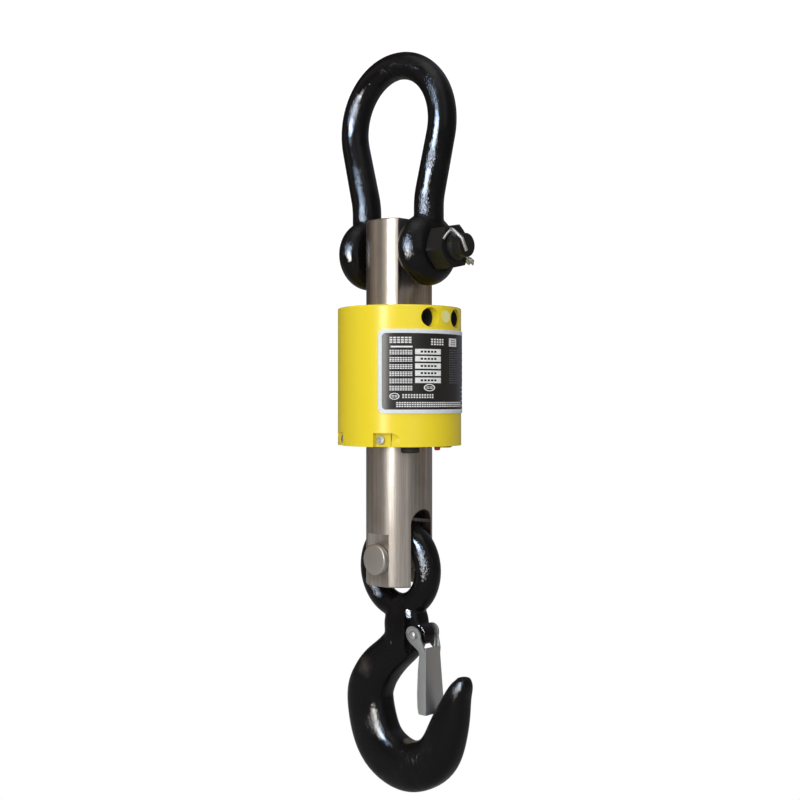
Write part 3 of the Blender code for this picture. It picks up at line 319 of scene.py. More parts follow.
def brushed(name, groups, light, dark, stretch):
    """Stainless steel brushed along one direction, with faint stains."""
    tree, shader = new_material(name, {"Metallic": 1.0})
    grain = use(tree, groups["grain"], {"Broad Scale": 260.0, "Fine Scale": 1500.0, "Stretch": stretch,
                                        "Fine Share": 0.8})
    stain = use(tree, groups["grain"], {"Broad Scale": 38.0, "Fine Scale": 240.0, "Stretch": (1.0, 1.0, 0.7)})
    wear_and_shade = use(tree, groups["wear_and_shade"], {"Amount": 0.5, "Break Scale": 200.0})
    streak = between(tree, grain["Height"], 0.55, 1.15)
    colour = mixed(tree, maths(tree, "MULTIPLY", streak, 0.55), light, dark)
    cloudy = between(tree, stain["Broad"], 0.46, 0.74)
    colour = mixed(tree, maths(tree, "MULTIPLY", cloudy, 0.30), colour, dark)
    # Painted shade: the hollows are darkened towards dark brown
    colour = mixed(tree, wear_and_shade["Grime"], colour, (0.10, 0.08, 0.06))
    varied = maths(tree, "MULTIPLY_ADD", grain["Fine"], 0.16, 0.19)
    varied = maths(tree, "MULTIPLY_ADD", stain["Broad"], 0.12, varied)
    normal = bump(tree, grain["Height"], 0.00012, 0.35)
    wire(tree, shader, Base_Color=colour, Roughness=varied, Normal=normal)


def turned_steel(name, groups, light, dark, centre):
    """Stainless steel faced on a lathe: fine rings about the Y axis through a centre, with mottling."""
    tree, shader = new_material(name, {"Metallic": 1.0})
    place = own_place(tree)
    moved = put(tree, "ShaderNodeVectorMath", {0: place, 1: centre}, operation="SUBTRACT").outputs["Vector"]
    rings = put(tree, "ShaderNodeTexWave", {"Vector": moved, "Scale": 70.0, "Distortion": 3.5, "Detail": 3.0},
                wave_type="RINGS", rings_direction="Y").outputs["Fac"]
    grain = use(tree, groups["grain"], {"Broad Scale": 190.0, "Fine Scale": 1300.0, "Fine Share": 0.5})
    wear_and_shade = use(tree, groups["wear_and_shade"], {"Amount": 0.5, "Break Scale": 200.0})
    mottle = maths(tree, "MULTIPLY_ADD", rings, 0.3, between(tree, grain["Broad"], 0.35, 0.75), clamp=True)
    tone = mixed(tree, mottle, light, dark)
    tone = mixed(tree, wear_and_shade["Worn"], tone, light)
    height = maths(tree, "MULTIPLY_ADD", rings, 0.6, grain["Fine"])
    rough = maths(tree, "MULTIPLY_ADD", grain["Fine"], 0.16, 0.24)
    wire(tree, shader, Base_Color=tone, Roughness=rough, Normal=bump(tree, height, 0.0003, 0.7))


def shell_plastic(name, groups, colour, deep):
    """Smooth moulded plastic with a little sink, scuffing on its edges and painted shade in its corners."""
    tree, shader = new_material(name, {"Specular IOR Level": 0.08})
    grain = use(tree, groups["grain"], {"Broad Scale": 24.0, "Fine Scale": 1700.0, "Fine Share": 0.12})
    wear_and_shade = use(tree, groups["wear_and_shade"], {"Amount": 0.45, "Break Scale": 260.0})
    dust = use(tree, groups["dust"], {"Amount": 0.12})
    tone = mixed(tree, between(tree, grain["Broad"], 0.3, 0.8), colour, deep)
    tone = mixed(tree, wear_and_shade["Worn"], tone, (0.97, 0.86, 0.32))
    # Painted shade: the corners and hollows are darkened towards deep ochre
    tone = mixed(tree, wear_and_shade["Grime"], tone, (0.30, 0.21, 0.03))
    tone = mixed(tree, dust["Dust"], tone, (0.62, 0.56, 0.38))
    rough = maths(tree, "MULTIPLY_ADD", grain["Broad"], 0.14, 0.45)
    wire(tree, shader, Base_Color=tone, Roughness=rough, Normal=bump(tree, grain["Height"], 0.0006, 0.10))


def moulded(name, groups, colour, rough, scale=900.0, relief=0.15, spread=0.25, metallic=0.0,
            wear_tone=None, gloss=0.3):
    """Plain finish for small pieces: mottled colour, uneven gloss, fine relief and rubbed edges."""
    tree, shader = new_material(name, {"Metallic": metallic, "Specular IOR Level": gloss})
    grain = use(tree, groups["grain"], {"Broad Scale": scale * 0.12, "Fine Scale": scale, "Fine Share": 0.6})
    wear_and_shade = use(tree, groups["wear_and_shade"], {"Amount": 0.6, "Break Scale": 300.0})
    darker = tuple(part * (1 - spread) for part in colour)
    lighter = tuple(min(part * (1 + spread), 1) for part in colour)
    tone = mixed(tree, grain["Broad"], darker, lighter)
    rubbed = wear_tone or tuple(min(part * 1.6 + 0.06, 1) for part in colour)
    tone = mixed(tree, wear_and_shade["Worn"], tone, rubbed)
    varied = maths(tree, "MULTIPLY_ADD", grain["Fine"], 0.16, rough - 0.08)
    wire(tree, shader, Base_Color=tone, Roughness=varied, Normal=bump(tree, grain["Height"], 0.0002, relief))


def zinc(name, groups, colour):
    """Bright zinc plate with a faint spangle and fine scratches."""
    tree, shader = new_material(name, {"Metallic": 1.0})
    grain = use(tree, groups["grain"], {"Broad Scale": 90.0, "Fine Scale": 900.0,
                                        "Stretch": (1.0, 1.0, 0.45)})
    wear_and_shade = use(tree, groups["wear_and_shade"], {"Amount": 0.5, "Break Scale": 250.0})
    place = own_place(tree)
    cells = put(tree, "ShaderNodeTexVoronoi", {"Vector": place, "Scale": 420.0}).outputs["Color"]
    flake = put(tree, "ShaderNodeSeparateXYZ", {0: cells}).outputs["X"]
    deep = tuple(part * 0.72 for part in colour)
    tone = mixed(tree, between(tree, grain["Broad"], 0.3, 0.75), colour, deep)
    tone = mixed(tree, maths(tree, "MULTIPLY", flake, 0.18), tone, (0.80, 0.84, 0.86))
    # Painted shade: the hollows are darkened towards near black
    tone = mixed(tree, wear_and_shade["Grime"], tone, (0.12, 0.11, 0.10))
    rough = maths(tree, "MULTIPLY_ADD", flake, 0.08, maths(tree, "MULTIPLY_ADD", grain["Fine"], 0.14, 0.17))
    wire(tree, shader, Base_Color=tone, Roughness=rough, Normal=bump(tree, grain["Height"], 0.0003, 0.2))


def board_finish(name, groups, colour):
    """Solder mask over copper tracks, with bare pads."""
    tree, shader = new_material(name, {"Specular IOR Level": 0.5})
    place = own_place(tree)
    bricks = put(tree, "ShaderNodeTexVoronoi", {"Vector": place, "Scale": 260.0}, distance="MANHATTAN")
    track = between(tree, bricks.outputs["Distance"], 0.55, 0.62)
    pad = between(tree, bricks.outputs["Distance"], 0.09, 0.06)
    grain = use(tree, groups["grain"], {"Broad Scale": 60.0, "Fine Scale": 900.0})
    tone = mixed(tree, track, colour, tuple(part * 1.9 for part in colour))
    tone = mixed(tree, pad, tone, (0.80, 0.62, 0.28))
    rough = maths(tree, "MULTIPLY_ADD", grain["Fine"], 0.2, 0.25)
    normal = bump(tree, maths(tree, "ADD", track, pad), 0.00005)
    wire(tree, shader, Base_Color=tone, Roughness=rough, Normal=normal)


# Colour and roughness of the small pieces' finishes, and what else sets each one apart
MOULDED = {
    "black_rubber": ((0.018, 0.018, 0.018), 0.78, {"scale": 1400.0, "relief": 0.35}),
    "black_plastic": ((0.018, 0.018, 0.019), 0.36, {}),
    "red_plastic": ((0.42, 0.016, 0.012), 0.30, {"wear_tone": (0.65, 0.12, 0.10)}),
    "black_oxide": ((0.05, 0.048, 0.05), 0.42, {"scale": 700.0, "relief": 0.2, "spread": 0.3,
                                                "metallic": 0.85, "wear_tone": (0.30, 0.29, 0.28)}),
    "nameplate_print": ((0.004, 0.004, 0.005), 0.30, {"scale": 500.0, "relief": 0.08, "spread": 0.2,
                                                      "gloss": 0.04}),
    "print_border": ((0.70, 0.76, 0.82), 0.35, {"scale": 500.0, "relief": 0.08, "spread": 0.06}),
    "print_ink": ((0.74, 0.76, 0.78), 0.45, {"scale": 1500.0, "relief": 0.1, "spread": 0.12}),
    "print_faint": ((0.10, 0.105, 0.12), 0.45, {"scale": 1500.0, "relief": 0.1, "spread": 0.2,
                                                "wear_tone": (0.12, 0.125, 0.14), "gloss": 0.1}),
    "sticker_paper": ((0.95, 0.94, 0.06), 0.6, {"scale": 900.0, "relief": 0.1, "spread": 0.03,
                                                "wear_tone": (0.9, 0.88, 0.06), "gloss": 0.05}),
    "cell_wrap": ((0.04, 0.13, 0.42), 0.3, {"scale": 600.0, "relief": 0.1}),
    "gauge_foil": ((0.70, 0.42, 0.12), 0.35, {"scale": 1200.0, "relief": 0.1, "spread": 0.2,
                                              "metallic": 0.4}),
    "cable_sheath": ((0.05, 0.05, 0.05), 0.55, {"scale": 1200.0, "relief": 0.25}),
    "white_plastic": ((0.72, 0.72, 0.68), 0.45, {"scale": 800.0, "relief": 0.12, "spread": 0.06}),
}


def make_finishes(colours):
    groups = {"grain": grain_group(), "wear_and_shade": wear_and_shade_group(), "dust": dust_group()}
    # Centre, radius, softness and depth of each spot that is rubbed to metal
    rub_hook = [((BAR_X + 16 * MM, 2 * MM, -597 * MM), 0.007, 0.007, 0.6),
                ((-0.026, -0.014, -0.534), 0.006, 0.014, 0.14)]
    for name, rubs in (("bow_enamel", []), ("hook_enamel", rub_hook), ("black_enamel", [])):
        enamel(name, groups, colours.enamel, rubs)
    brushed("bar_steel", groups, colours.steel, (0.34, 0.28, 0.22), (1.0, 1.0, 0.02))
    turned_steel("stainless", groups, (0.66, 0.65, 0.63), (0.22, 0.21, 0.20), (BAR_X, 0.0, PIN_Z))
    shell_plastic("yellow_shell", groups, colours.shell, colours.shell_deep)
    zinc("zinc_plate", groups, colours.zinc)
    board_finish("board_green", groups, (0.015, 0.11, 0.04))
    for name, (colour, rough, others) in MOULDED.items():
        moulded(name, groups, colour, rough, **others)


def finish(name):
    return bpy.data.materials[name]


# ---------------------------------------------------------------- mesh helpers

def as_object(name, bm, recalc=True):
    if recalc:
        bmesh.ops.recalc_face_normals(bm, faces=bm.faces)
    mesh = bpy.data.meshes.new(name)
    bm.to_mesh(mesh)
    bm.free()
    obj = bpy.data.objects.new(name, mesh)
    bpy.context.scene.collection.objects.link(obj)
    return obj


def applied(obj):
    """Turn an object's modifiers into its plain mesh."""
    bpy.context.view_layer.update()
    graph = bpy.context.evaluated_depsgraph_get()
    mesh = bpy.data.meshes.new_from_object(obj.evaluated_get(graph))
    obj.modifiers.clear()
    old = obj.data
    obj.data = mesh
    mesh.name = obj.name
    bpy.data.meshes.remove(old)
    return obj


def smooth(obj, degrees=32):
    obj.data.shade_smooth()
    obj.data.set_sharp_from_angle(angle=math.radians(degrees))
    return obj


def ease(obj, width, degrees=32):
    """Round every sharp edge a little."""
    mod = obj.modifiers.new("eased_edges", "BEVEL")
    mod.width = width
    mod.segments = 2
    mod.limit_method = "ANGLE"
    mod.angle_limit = math.radians(degrees)
    mod.use_clamp_overlap = True
    mod.miter_outer = "MITER_ARC"
    return applied(obj)


def finished(obj, body, slot, material, *nodes):
    """Hand a piece over: its material, its body, and the CAD nodes it stands for. The slot is not used."""
    obj.data.materials.clear()
    obj.data.materials.append(finish(material))
    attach(obj, body)
    if nodes:
        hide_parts(*nodes)
    return obj


def welded(node, name):
    """A copy of a CAD node with its corners joined and its flats made whole."""
    bm = bmesh.new()
    bm.from_mesh(NODES[node].data)
    bmesh.ops.remove_doubles(bm, verts=bm.verts, dist=0.004 * MM)
    bmesh.ops.dissolve_limit(bm, angle_limit=math.radians(0.4), verts=bm.verts, edges=bm.edges)
    return as_object(name, bm, recalc=False)


def round_walls(obj, walls, give=0.35 * MM):
    """Shade faces on round walls as true cylinders. A wall is an axis letter, its centre and its radius."""
    mesh = obj.data
    normals = [Vector((0, 0, 0))] * len(mesh.loops)
    for polygon in mesh.polygons:
        for axis, centre, radius in walls:
            along = "XYZ".index(axis)
            arms = []
            for index in polygon.vertices:
                arm = mesh.vertices[index].co - Vector(centre)
                arm[along] = 0
                arms.append(arm)
            middle = sum(arms, Vector()).normalized()
            facing = middle.dot(polygon.normal)
            if abs(facing) > 0.97 and all(abs(arm.length - radius) < give for arm in arms):
                sign = 1 if facing > 0 else -1
                for loop, arm in zip(polygon.loop_indices, arms):
                    normals[loop] = arm.normalized() * sign
    mesh.normals_split_custom_set(normals)
    return obj


def carried(node, material=None, edge=0.0, degrees=32, walls=()):
    """A CAD piece carried over with eased edges, smooth shading and its finish."""
    obj = welded(node, f"{node}_piece")
    if edge:
        ease(obj, edge, degrees=degrees)
    smooth(obj, degrees)
    if walls:
        round_walls(obj, walls)
    return finished(obj, BODY_OF[node], SLOT_OF[node], material or SLOT_OF[node], node)


def skin(bm, rings, closed=False):
    """Skin rings with the same number of points into a bmesh, with capped or joined ends."""
    loops = [[bm.verts.new(point) for point in ring] for ring in rings]
    pairs = list(zip(loops, loops[1:]))
    if closed:
        pairs.append((loops[-1], loops[0]))
    count = len(loops[0])
    for lower, upper in pairs:
        for i in range(count):
            j = (i + 1) % count
            bm.faces.new((lower[i], lower[j], upper[j], upper[i]))
    if not closed:
        bm.faces.new(loops[0][::-1])
        bm.faces.new(loops[-1])


def lathe(bm, profile, axis, centre, steps):
    """Turn (radius, height) points about the X or the Y axis through a centre."""
    turn = {"X": Matrix.Rotation(math.pi / 2, 4, "Y"), "Y": Matrix.Rotation(-math.pi / 2, 4, "X")}
    at = Matrix.Translation(centre) @ turn[axis]
    rings = []
    for step in range(steps):
        angle = math.tau * step / steps
        rings.append([at @ Vector((r * math.cos(angle), r * math.sin(angle), h)) for r, h in profile])
    skin(bm, rings, closed=True)


def rod(name, radius, start, end):
    """A round cutter between two points."""
    bm = bmesh.new()
    run = Vector(end) - Vector(start)
    turn = Vector((0, 0, 1)).rotation_difference(run).to_matrix().to_4x4()
    at = Matrix.Translation((Vector(start) + Vector(end)) / 2) @ turn
    bmesh.ops.create_cone(bm, cap_ends=True, segments=48, radius1=radius, radius2=radius,
                          depth=run.length, matrix=at)
    return as_object(name, bm)


def block(name, low, high):
    bm = bmesh.new()
    size = Vector(high) - Vector(low)
    at = Matrix.Translation((Vector(low) + Vector(high)) / 2) @ Matrix.Diagonal((*size, 1.0))
    bmesh.ops.create_cube(bm, size=1.0, matrix=at)
    return as_object(name, bm)


def cut(obj, tool):
    """Cut with another object, which is used up."""
    mod = obj.modifiers.new("cut", "BOOLEAN")
    mod.operation = "DIFFERENCE"
    mod.solver = "EXACT"
    mod.object = tool
    applied(obj)
    bpy.data.objects.remove(tool, do_unlink=True)
    return obj


def forged(obj, voxel, passes):
    """Fuse overlapping pieces into one skin and round where they meet, as a forging is."""
    mod = obj.modifiers.new("fused", "REMESH")
    mod.mode = "VOXEL"
    mod.voxel_size = voxel
    mod.adaptivity = 0.0
    applied(obj)
    bm = bmesh.new()
    bm.from_mesh(obj.data)
    for _ in range(passes):
        bmesh.ops.smooth_vert(bm, verts=bm.verts, factor=0.5, use_axis_x=True, use_axis_y=True,
                              use_axis_z=True)
    bm.to_mesh(obj.data)
    bm.free()
    return obj


def spline_value(values, position):
    """Catmull-Rom value through a list, at a fractional index."""
    index = min(int(position), len(values) - 2)
    t = position - index
    before = values[max(index - 1, 0)]
    here = values[index]
    after = values[index + 1]
    beyond = values[min(index + 2, len(values) - 1)]
    slope_in = (after - before) / 2
    slope_out = (beyond - here) / 2
    return ((2 * t**3 - 3 * t**2 + 1) * here + (t**3 - 2 * t**2 + t) * slope_in
            + (3 * t**2 - 2 * t**3) * after + (t**3 - t**2) * slope_out)


# ---------------------------------------------------------------- geometry nodes

def geometry_tree(name, inputs):
    tree = bpy.data.node_groups.new(name, "GeometryNodeTree")
    tree.interface.new_socket("Geometry", in_out="INPUT", socket_type="NodeSocketGeometry")
    for label, kind, value in inputs:
        socket = tree.interface.new_socket(label, in_out="INPUT", socket_type=kind)
        if value is not None:
            socket.default_value = value
    tree.interface.new_socket("Geometry", in_out="OUTPUT", socket_type="NodeSocketGeometry")
    return tree, tree.nodes.new("NodeGroupInput").outputs, tree.nodes.new("NodeGroupOutput").inputs


def grown(name, tree, **values):
    """Run a Geometry Nodes tree on an empty mesh with named inputs, and keep its result as a plain mesh."""
    obj = as_object(name, bmesh.new())
    mod = obj.modifiers.new("grown", "NODES")
    mod.node_group = tree
    ids = {item.name: item.identifier for item in tree.interface.items_tree if item.in_out == "INPUT"}
    for label, value in values.items():
        mod[ids[label.replace("_", " ")]] = value
    return applied(obj)


def bar_rows_tree():
    """Rows and columns of small raised bars, bent round a cylinder."""
    tree, given, out = geometry_tree("printed_bars", [
        ("Columns", INTEGER, 1), ("Rows", INTEGER, 1), ("Pitch", VECTOR, (0.004, 0, 0.002)),
        ("Start", VECTOR, (0, 0, 0)), ("Size", VECTOR, (0.003, 0.0001, 0.001)),
        ("Radius", FLOAT, 0.057), ("Centre X", FLOAT, 0.0),
        ("Material", MATERIAL, None),
    ])
    count = maths(tree, "MULTIPLY", given["Columns"], given["Rows"])
    index = put(tree, "GeometryNodeInputIndex").outputs[0]
    column = maths(tree, "MODULO", index, given["Columns"])
    row = maths(tree, "FLOOR", maths(tree, "DIVIDE", maths(tree, "ADD", index, 0.01), given["Columns"]))
    pitch = put(tree, "ShaderNodeSeparateXYZ", {0: given["Pitch"]}).outputs
    across = maths(tree, "MULTIPLY", column, pitch["X"])
    down = maths(tree, "MULTIPLY", maths(tree, "MULTIPLY", row, pitch["Z"]), -1.0)
    offset = put(tree, "ShaderNodeCombineXYZ", {"X": across, "Z": down}).outputs[0]
    spot_at = put(tree, "ShaderNodeVectorMath", {0: offset, 1: given["Start"]}).outputs[0]
    points = put(tree, "GeometryNodePoints", {"Count": count, "Position": spot_at}).outputs[0]
    cube = put(tree, "GeometryNodeMeshCube", {"Size": given["Size"], "Vertices X": 7}).outputs[0]
    placed = put(tree, "GeometryNodeInstanceOnPoints", {"Points": points, "Instance": cube}).outputs[0]
    real = put(tree, "GeometryNodeRealizeInstances", {"Geometry": placed}).outputs[0]
    flat = put(tree, "ShaderNodeSeparateXYZ", {0: put(tree, "GeometryNodeInputPosition").outputs[0]}).outputs
    reach = maths(tree, "SUBTRACT", given["Radius"], flat["Y"])
    angle = maths(tree, "DIVIDE", flat["X"], given["Radius"])
    x = maths(tree, "MULTIPLY_ADD", maths(tree, "COSINE", angle), reach, given["Centre X"])
    y = maths(tree, "MULTIPLY", maths(tree, "SINE", angle), reach)
    bent = put(tree, "ShaderNodeCombineXYZ", {"X": x, "Y": y, "Z": flat["Z"]}).outputs[0]
    moved = put(tree, "GeometryNodeSetPosition", {"Geometry": real, "Position": bent}).outputs[0]
    done = put(tree, "GeometryNodeSetMaterial", {"Geometry": moved, "Material": given["Material"]}).outputs[0]
    tree.links.new(done, out[0])
    return tree


def thread_tree():
    """Thread crests: equal rings along a rod that lies along X."""
    tree, given, out = geometry_tree("thread_crests", [
        ("Count", INTEGER, 3), ("Pitch", FLOAT, 0.0015), ("Start", VECTOR, (0, 0, 0)),
        ("Radius", FLOAT, 0.012), ("Crest", FLOAT, 0.0006),
        ("Material", MATERIAL, None),
    ])
    circle, profile = (put(tree, "GeometryNodeCurvePrimitiveCircle",
                           {"Resolution": points, "Radius": given[size]}).outputs[0]
                       for points, size in ((72, "Radius"), (6, "Crest")))
    ring = put(tree, "GeometryNodeCurveToMesh", {"Curve": circle, "Profile Curve": profile}).outputs[0]
    step = put(tree, "ShaderNodeCombineXYZ", {"X": given["Pitch"]}).outputs[0]
    line = put(tree, "GeometryNodeMeshLine", {"Count": given["Count"], "Start Location": given["Start"],
                                              "Offset": step}).outputs[0]
    placed = put(tree, "GeometryNodeInstanceOnPoints",
                 {"Points": line, "Instance": ring, "Rotation": (0, math.pi / 2, 0)}).outputs[0]
    real = put(tree, "GeometryNodeRealizeInstances", {"Geometry": placed}).outputs[0]
    soft = put(tree, "GeometryNodeSetShadeSmooth", {"Geometry": real}).outputs[0]
    done = put(tree, "GeometryNodeSetMaterial", {"Geometry": soft, "Material": given["Material"]}).outputs[0]
    tree.links.new(done, out[0])
    return tree


def joined(name, parts):
    """Join plain mesh objects into one, keeping each one's material."""
    bm = bmesh.new()
    mats = []
    for part in parts:
        start = len(bm.faces)
        bm.from_mesh(part.data)
        bm.faces.ensure_lookup_table()
        material = next(mat for mat in part.data.materials if mat)
        if material not in mats:
            mats.append(material)
        for face in bm.faces[start:]:
            face.material_index = mats.index(material)
        bpy.data.objects.remove(part, do_unlink=True)
    indices = [face.material_index for face in bm.faces]
    obj = as_object(name, bm, recalc=False)
    for material in mats:
        obj.data.materials.append(material)
    obj.data.polygons.foreach_set("material_index", indices)
    return obj


# ---------------------------------------------------------------- shackle

def bow_rows(side):
    """Centre and radius of the bow's rod from the crown to the ear, on one side."""
    middle_z = CROWN_ROD_R - CROWN_RADIUS
    crown_steps = 56
    limb_steps = 8
    points = []
    for i in range(crown_steps + 1):
        angle = math.pi / 2 - (math.pi / 2 + LIMB_LEAN) * i / crown_steps
        points.append((CROWN_RADIUS * math.cos(angle), middle_z + CROWN_RADIUS * math.sin(angle)))
    turn_x = LIMB_X + LIMB_BLEND_R * (1 - math.cos(LIMB_LEAN))
    last_x, last_z = points[-1]
    drop = (last_x - turn_x) / math.tan(LIMB_LEAN)
    points += [(last_x + (turn_x - last_x) * i / limb_steps, last_z - drop * i / limb_steps)
               for i in range(1, limb_steps)]
    blend_z = last_z - drop - LIMB_BLEND_R * math.sin(LIMB_LEAN)
    for i in range(limb_steps + 1):
        angle = math.pi - LIMB_LEAN + LIMB_LEAN * i / limb_steps
        points.append((LIMB_X + LIMB_BLEND_R + LIMB_BLEND_R * math.cos(angle),
                       blend_z + LIMB_BLEND_R * math.sin(angle)))
    points.append((LIMB_X, BOLT_Z + 15 * MM))
    rows = []
    for x, z in points:
        if z > middle_z:
            thick = CROWN_ROD_R + (LIMB_ROD_R - CROWN_ROD_R) * min(x / CROWN_RADIUS, 1)
        else:
            thick = LIMB_ROD_R + (EAR_ROD_R - LIMB_ROD_R) * min((middle_z - z) / (60 * MM), 1)
        rows.append((side * x, z, thick))
    return rows


def make_bow(sizes):
    rows = bow_rows(-1)[::-1] + bow_rows(1)[1:]
    bm = bmesh.new()
    rings = []
    for index, (x, z, thick) in enumerate(rows):
        ahead = rows[min(index + 1, len(rows) - 1)]
        behind = rows[max(index - 1, 0)]
        run = Vector((ahead[0] - behind[0], 0, ahead[1] - behind[1])).normalized()
        across = Vector((-run.z, 0, run.x))
        rings.append([Vector((x, 0, z)) + (across * math.cos(t) + Vector((0, 1, 0)) * math.sin(t)) * thick
                      for t in (math.tau * i / 44 for i in range(44))])
    skin(bm, rings)
    count = 40
    last = len(EAR_PROFILE) - 1
    curve = [(spline_value([p[1] for p in EAR_PROFILE], last * i / count) * MM,
              spline_value([p[0] for p in EAR_PROFILE], last * i / count) * MM) for i in range(count + 1)]
    for side in (-1, 1):
        profile = [(EAR_BORE_R, curve[0][1])] + curve + [(EAR_BORE_R, curve[-1][1])]
        lathe(bm, [(r, side * h) for r, h in profile + [profile[0]]][:-1], "X", (0, 0, BOLT_Z), steps=96)
    bow = as_object("shackle_bow_piece", bm)
    forged(bow, sizes.voxel, passes=7)
    smooth(bow, 80)
    finished(bow, "shackle", "black_enamel", "bow_enamel", "shackle_bow")


# ---------------------------------------------------------------- hook

def hook_path(per_span, passes):
    """Section centres, half depths and half widths along the hook, evened out, in metres."""
    last = len(HOOK_STATIONS) - 1
    rows = []
    for step in range(last * per_span + 1):
        position = step / per_span
        rows.append([spline_value([row[i] for row in HOOK_STATIONS], position) * MM for i in range(4)])
    for _ in range(passes):
        inner = [[(a + 2 * b + c) / 4 for a, b, c in zip(*rows[i - 1:i + 2])]
                 for i in range(1, len(rows) - 1)]
        rows = [rows[0]] + inner + [rows[-1]]
    return rows


def hook_ring(path, index, sides):
    """One section of the hook, square to its centreline."""
    x, z, depth, width = path[index]
    ahead = path[min(index + 1, len(path) - 1)]
    behind = path[max(index - 1, 0)]
    across = Vector((behind[1] - ahead[1], 0, ahead[0] - behind[0])).normalized()
    centre = Vector((x + BAR_X, 0, z))
    points = []
    for i in range(sides):
        turn = math.tau * (i + 0.5) / sides
        c = math.cos(turn)
        s = math.sin(turn)
        grow = (abs(c) ** SECTION_POWER + abs(s) ** SECTION_POWER) ** (-1 / SECTION_POWER)
        points.append(centre + across * depth * c * grow + Vector((0, width * s * grow, 0)))
    return points


def make_hook(sizes):
    bm = bmesh.new()
    path = hook_path(per_span=8, passes=6)
    skin(bm, [hook_ring(path, i, sides=44) for i in range(len(path))])
    eye = [(EYE_R + EYE_TUBE_R * math.cos(t), EYE_TUBE_R * math.sin(t))
           for t in (math.tau * i / 36 for i in range(36))]
    lathe(bm, eye, "Y", (EYE_X, 0, EYE_Z), steps=96)
    hook = as_object("hook_body_piece", bm)
    bm = bmesh.new()
    bm.from_mesh(hook.data)
    lug_at = Matrix.Translation((LATCH_X, 0, LATCH_Z)) @ Matrix.Rotation(math.pi / 2, 4, "X")
    bmesh.ops.create_cone(bm, cap_ends=True, segments=48, radius1=LUG_R, radius2=LUG_R,
                          depth=LUG_HALF * 2, matrix=lug_at)
    bm.to_mesh(hook.data)
    bm.free()
    forged(hook, sizes.voxel, passes=6)
    for side in (-1, 1):
        reach = side * CUT_REACH
        cut(hook, rod("room", ROOM_R, (LATCH_X, side * LUG_HALF, LATCH_Z), (LATCH_X, reach, LATCH_Z)))
        edges = sorted((side * FLAT_Y, reach))
        cut(hook, block("flat", (BAR_X + 19 * MM, edges[0], LATCH_Z - 27 * MM),
                        (BAR_X + 45 * MM, edges[1], LATCH_Z + 15 * MM)))
    cut(hook, rod("bore", LATCH_BORE_R, (LATCH_X, -CUT_REACH, LATCH_Z), (LATCH_X, CUT_REACH, LATCH_Z)))
    smooth(hook, 34)
    finished(hook, "hook", "black_enamel", "hook_enamel", "hook_body")


# ---------------------------------------------------------------- nameplate

def round_rect(half_u, half_v, corner, per_corner=8, per_side=40):
    """Points round a rectangle with rounded corners, anticlockwise from the right side's foot."""
    corners = [((half_u - corner, half_v - corner), 0), ((corner - half_u, half_v - corner), 90),
               ((corner - half_u, corner - half_v), 180), ((half_u - corner, corner - half_v), 270)]
    points = []
    for index, (centre, start) in enumerate(corners):
        for i in range(per_corner + 1):
            angle = math.radians(start + 90 * i / per_corner)
            points.append((centre[0] + corner * math.cos(angle), centre[1] + corner * math.sin(angle)))
        centre_next, start_next = corners[(index + 1) % 4]
        angle = math.radians(start_next)
        target = (centre_next[0] + corner * math.cos(angle), centre_next[1] + corner * math.sin(angle))
        here = points[-1]
        points += [(here[0] + (target[0] - here[0]) * i / per_side,
                    here[1] + (target[1] - here[1]) * i / per_side) for i in range(1, per_side)]
    return points


def on_housing(u, v, radius):
    """A point of the unrolled label on the housing's round wall."""
    angle = u / PLATE_R
    return Vector((BAR_X + radius * math.cos(angle), radius * math.sin(angle), v))


def label_skin(name, rings, fill):
    """Skin rings of (u, v, radius) points, and close the last ring's middle when asked."""
    bm = bmesh.new()
    loops = [[bm.verts.new(on_housing(*point)) for point in ring] for ring in rings]
    count = len(loops[0])
    for outer, inner in zip(loops, loops[1:]):
        for i in range(count):
            j = (i + 1) % count
            bm.faces.new((outer[i], outer[j], inner[j], inner[i]))
    if fill:
        bm.faces.new(loops[-1])
    return as_object(name, bm)


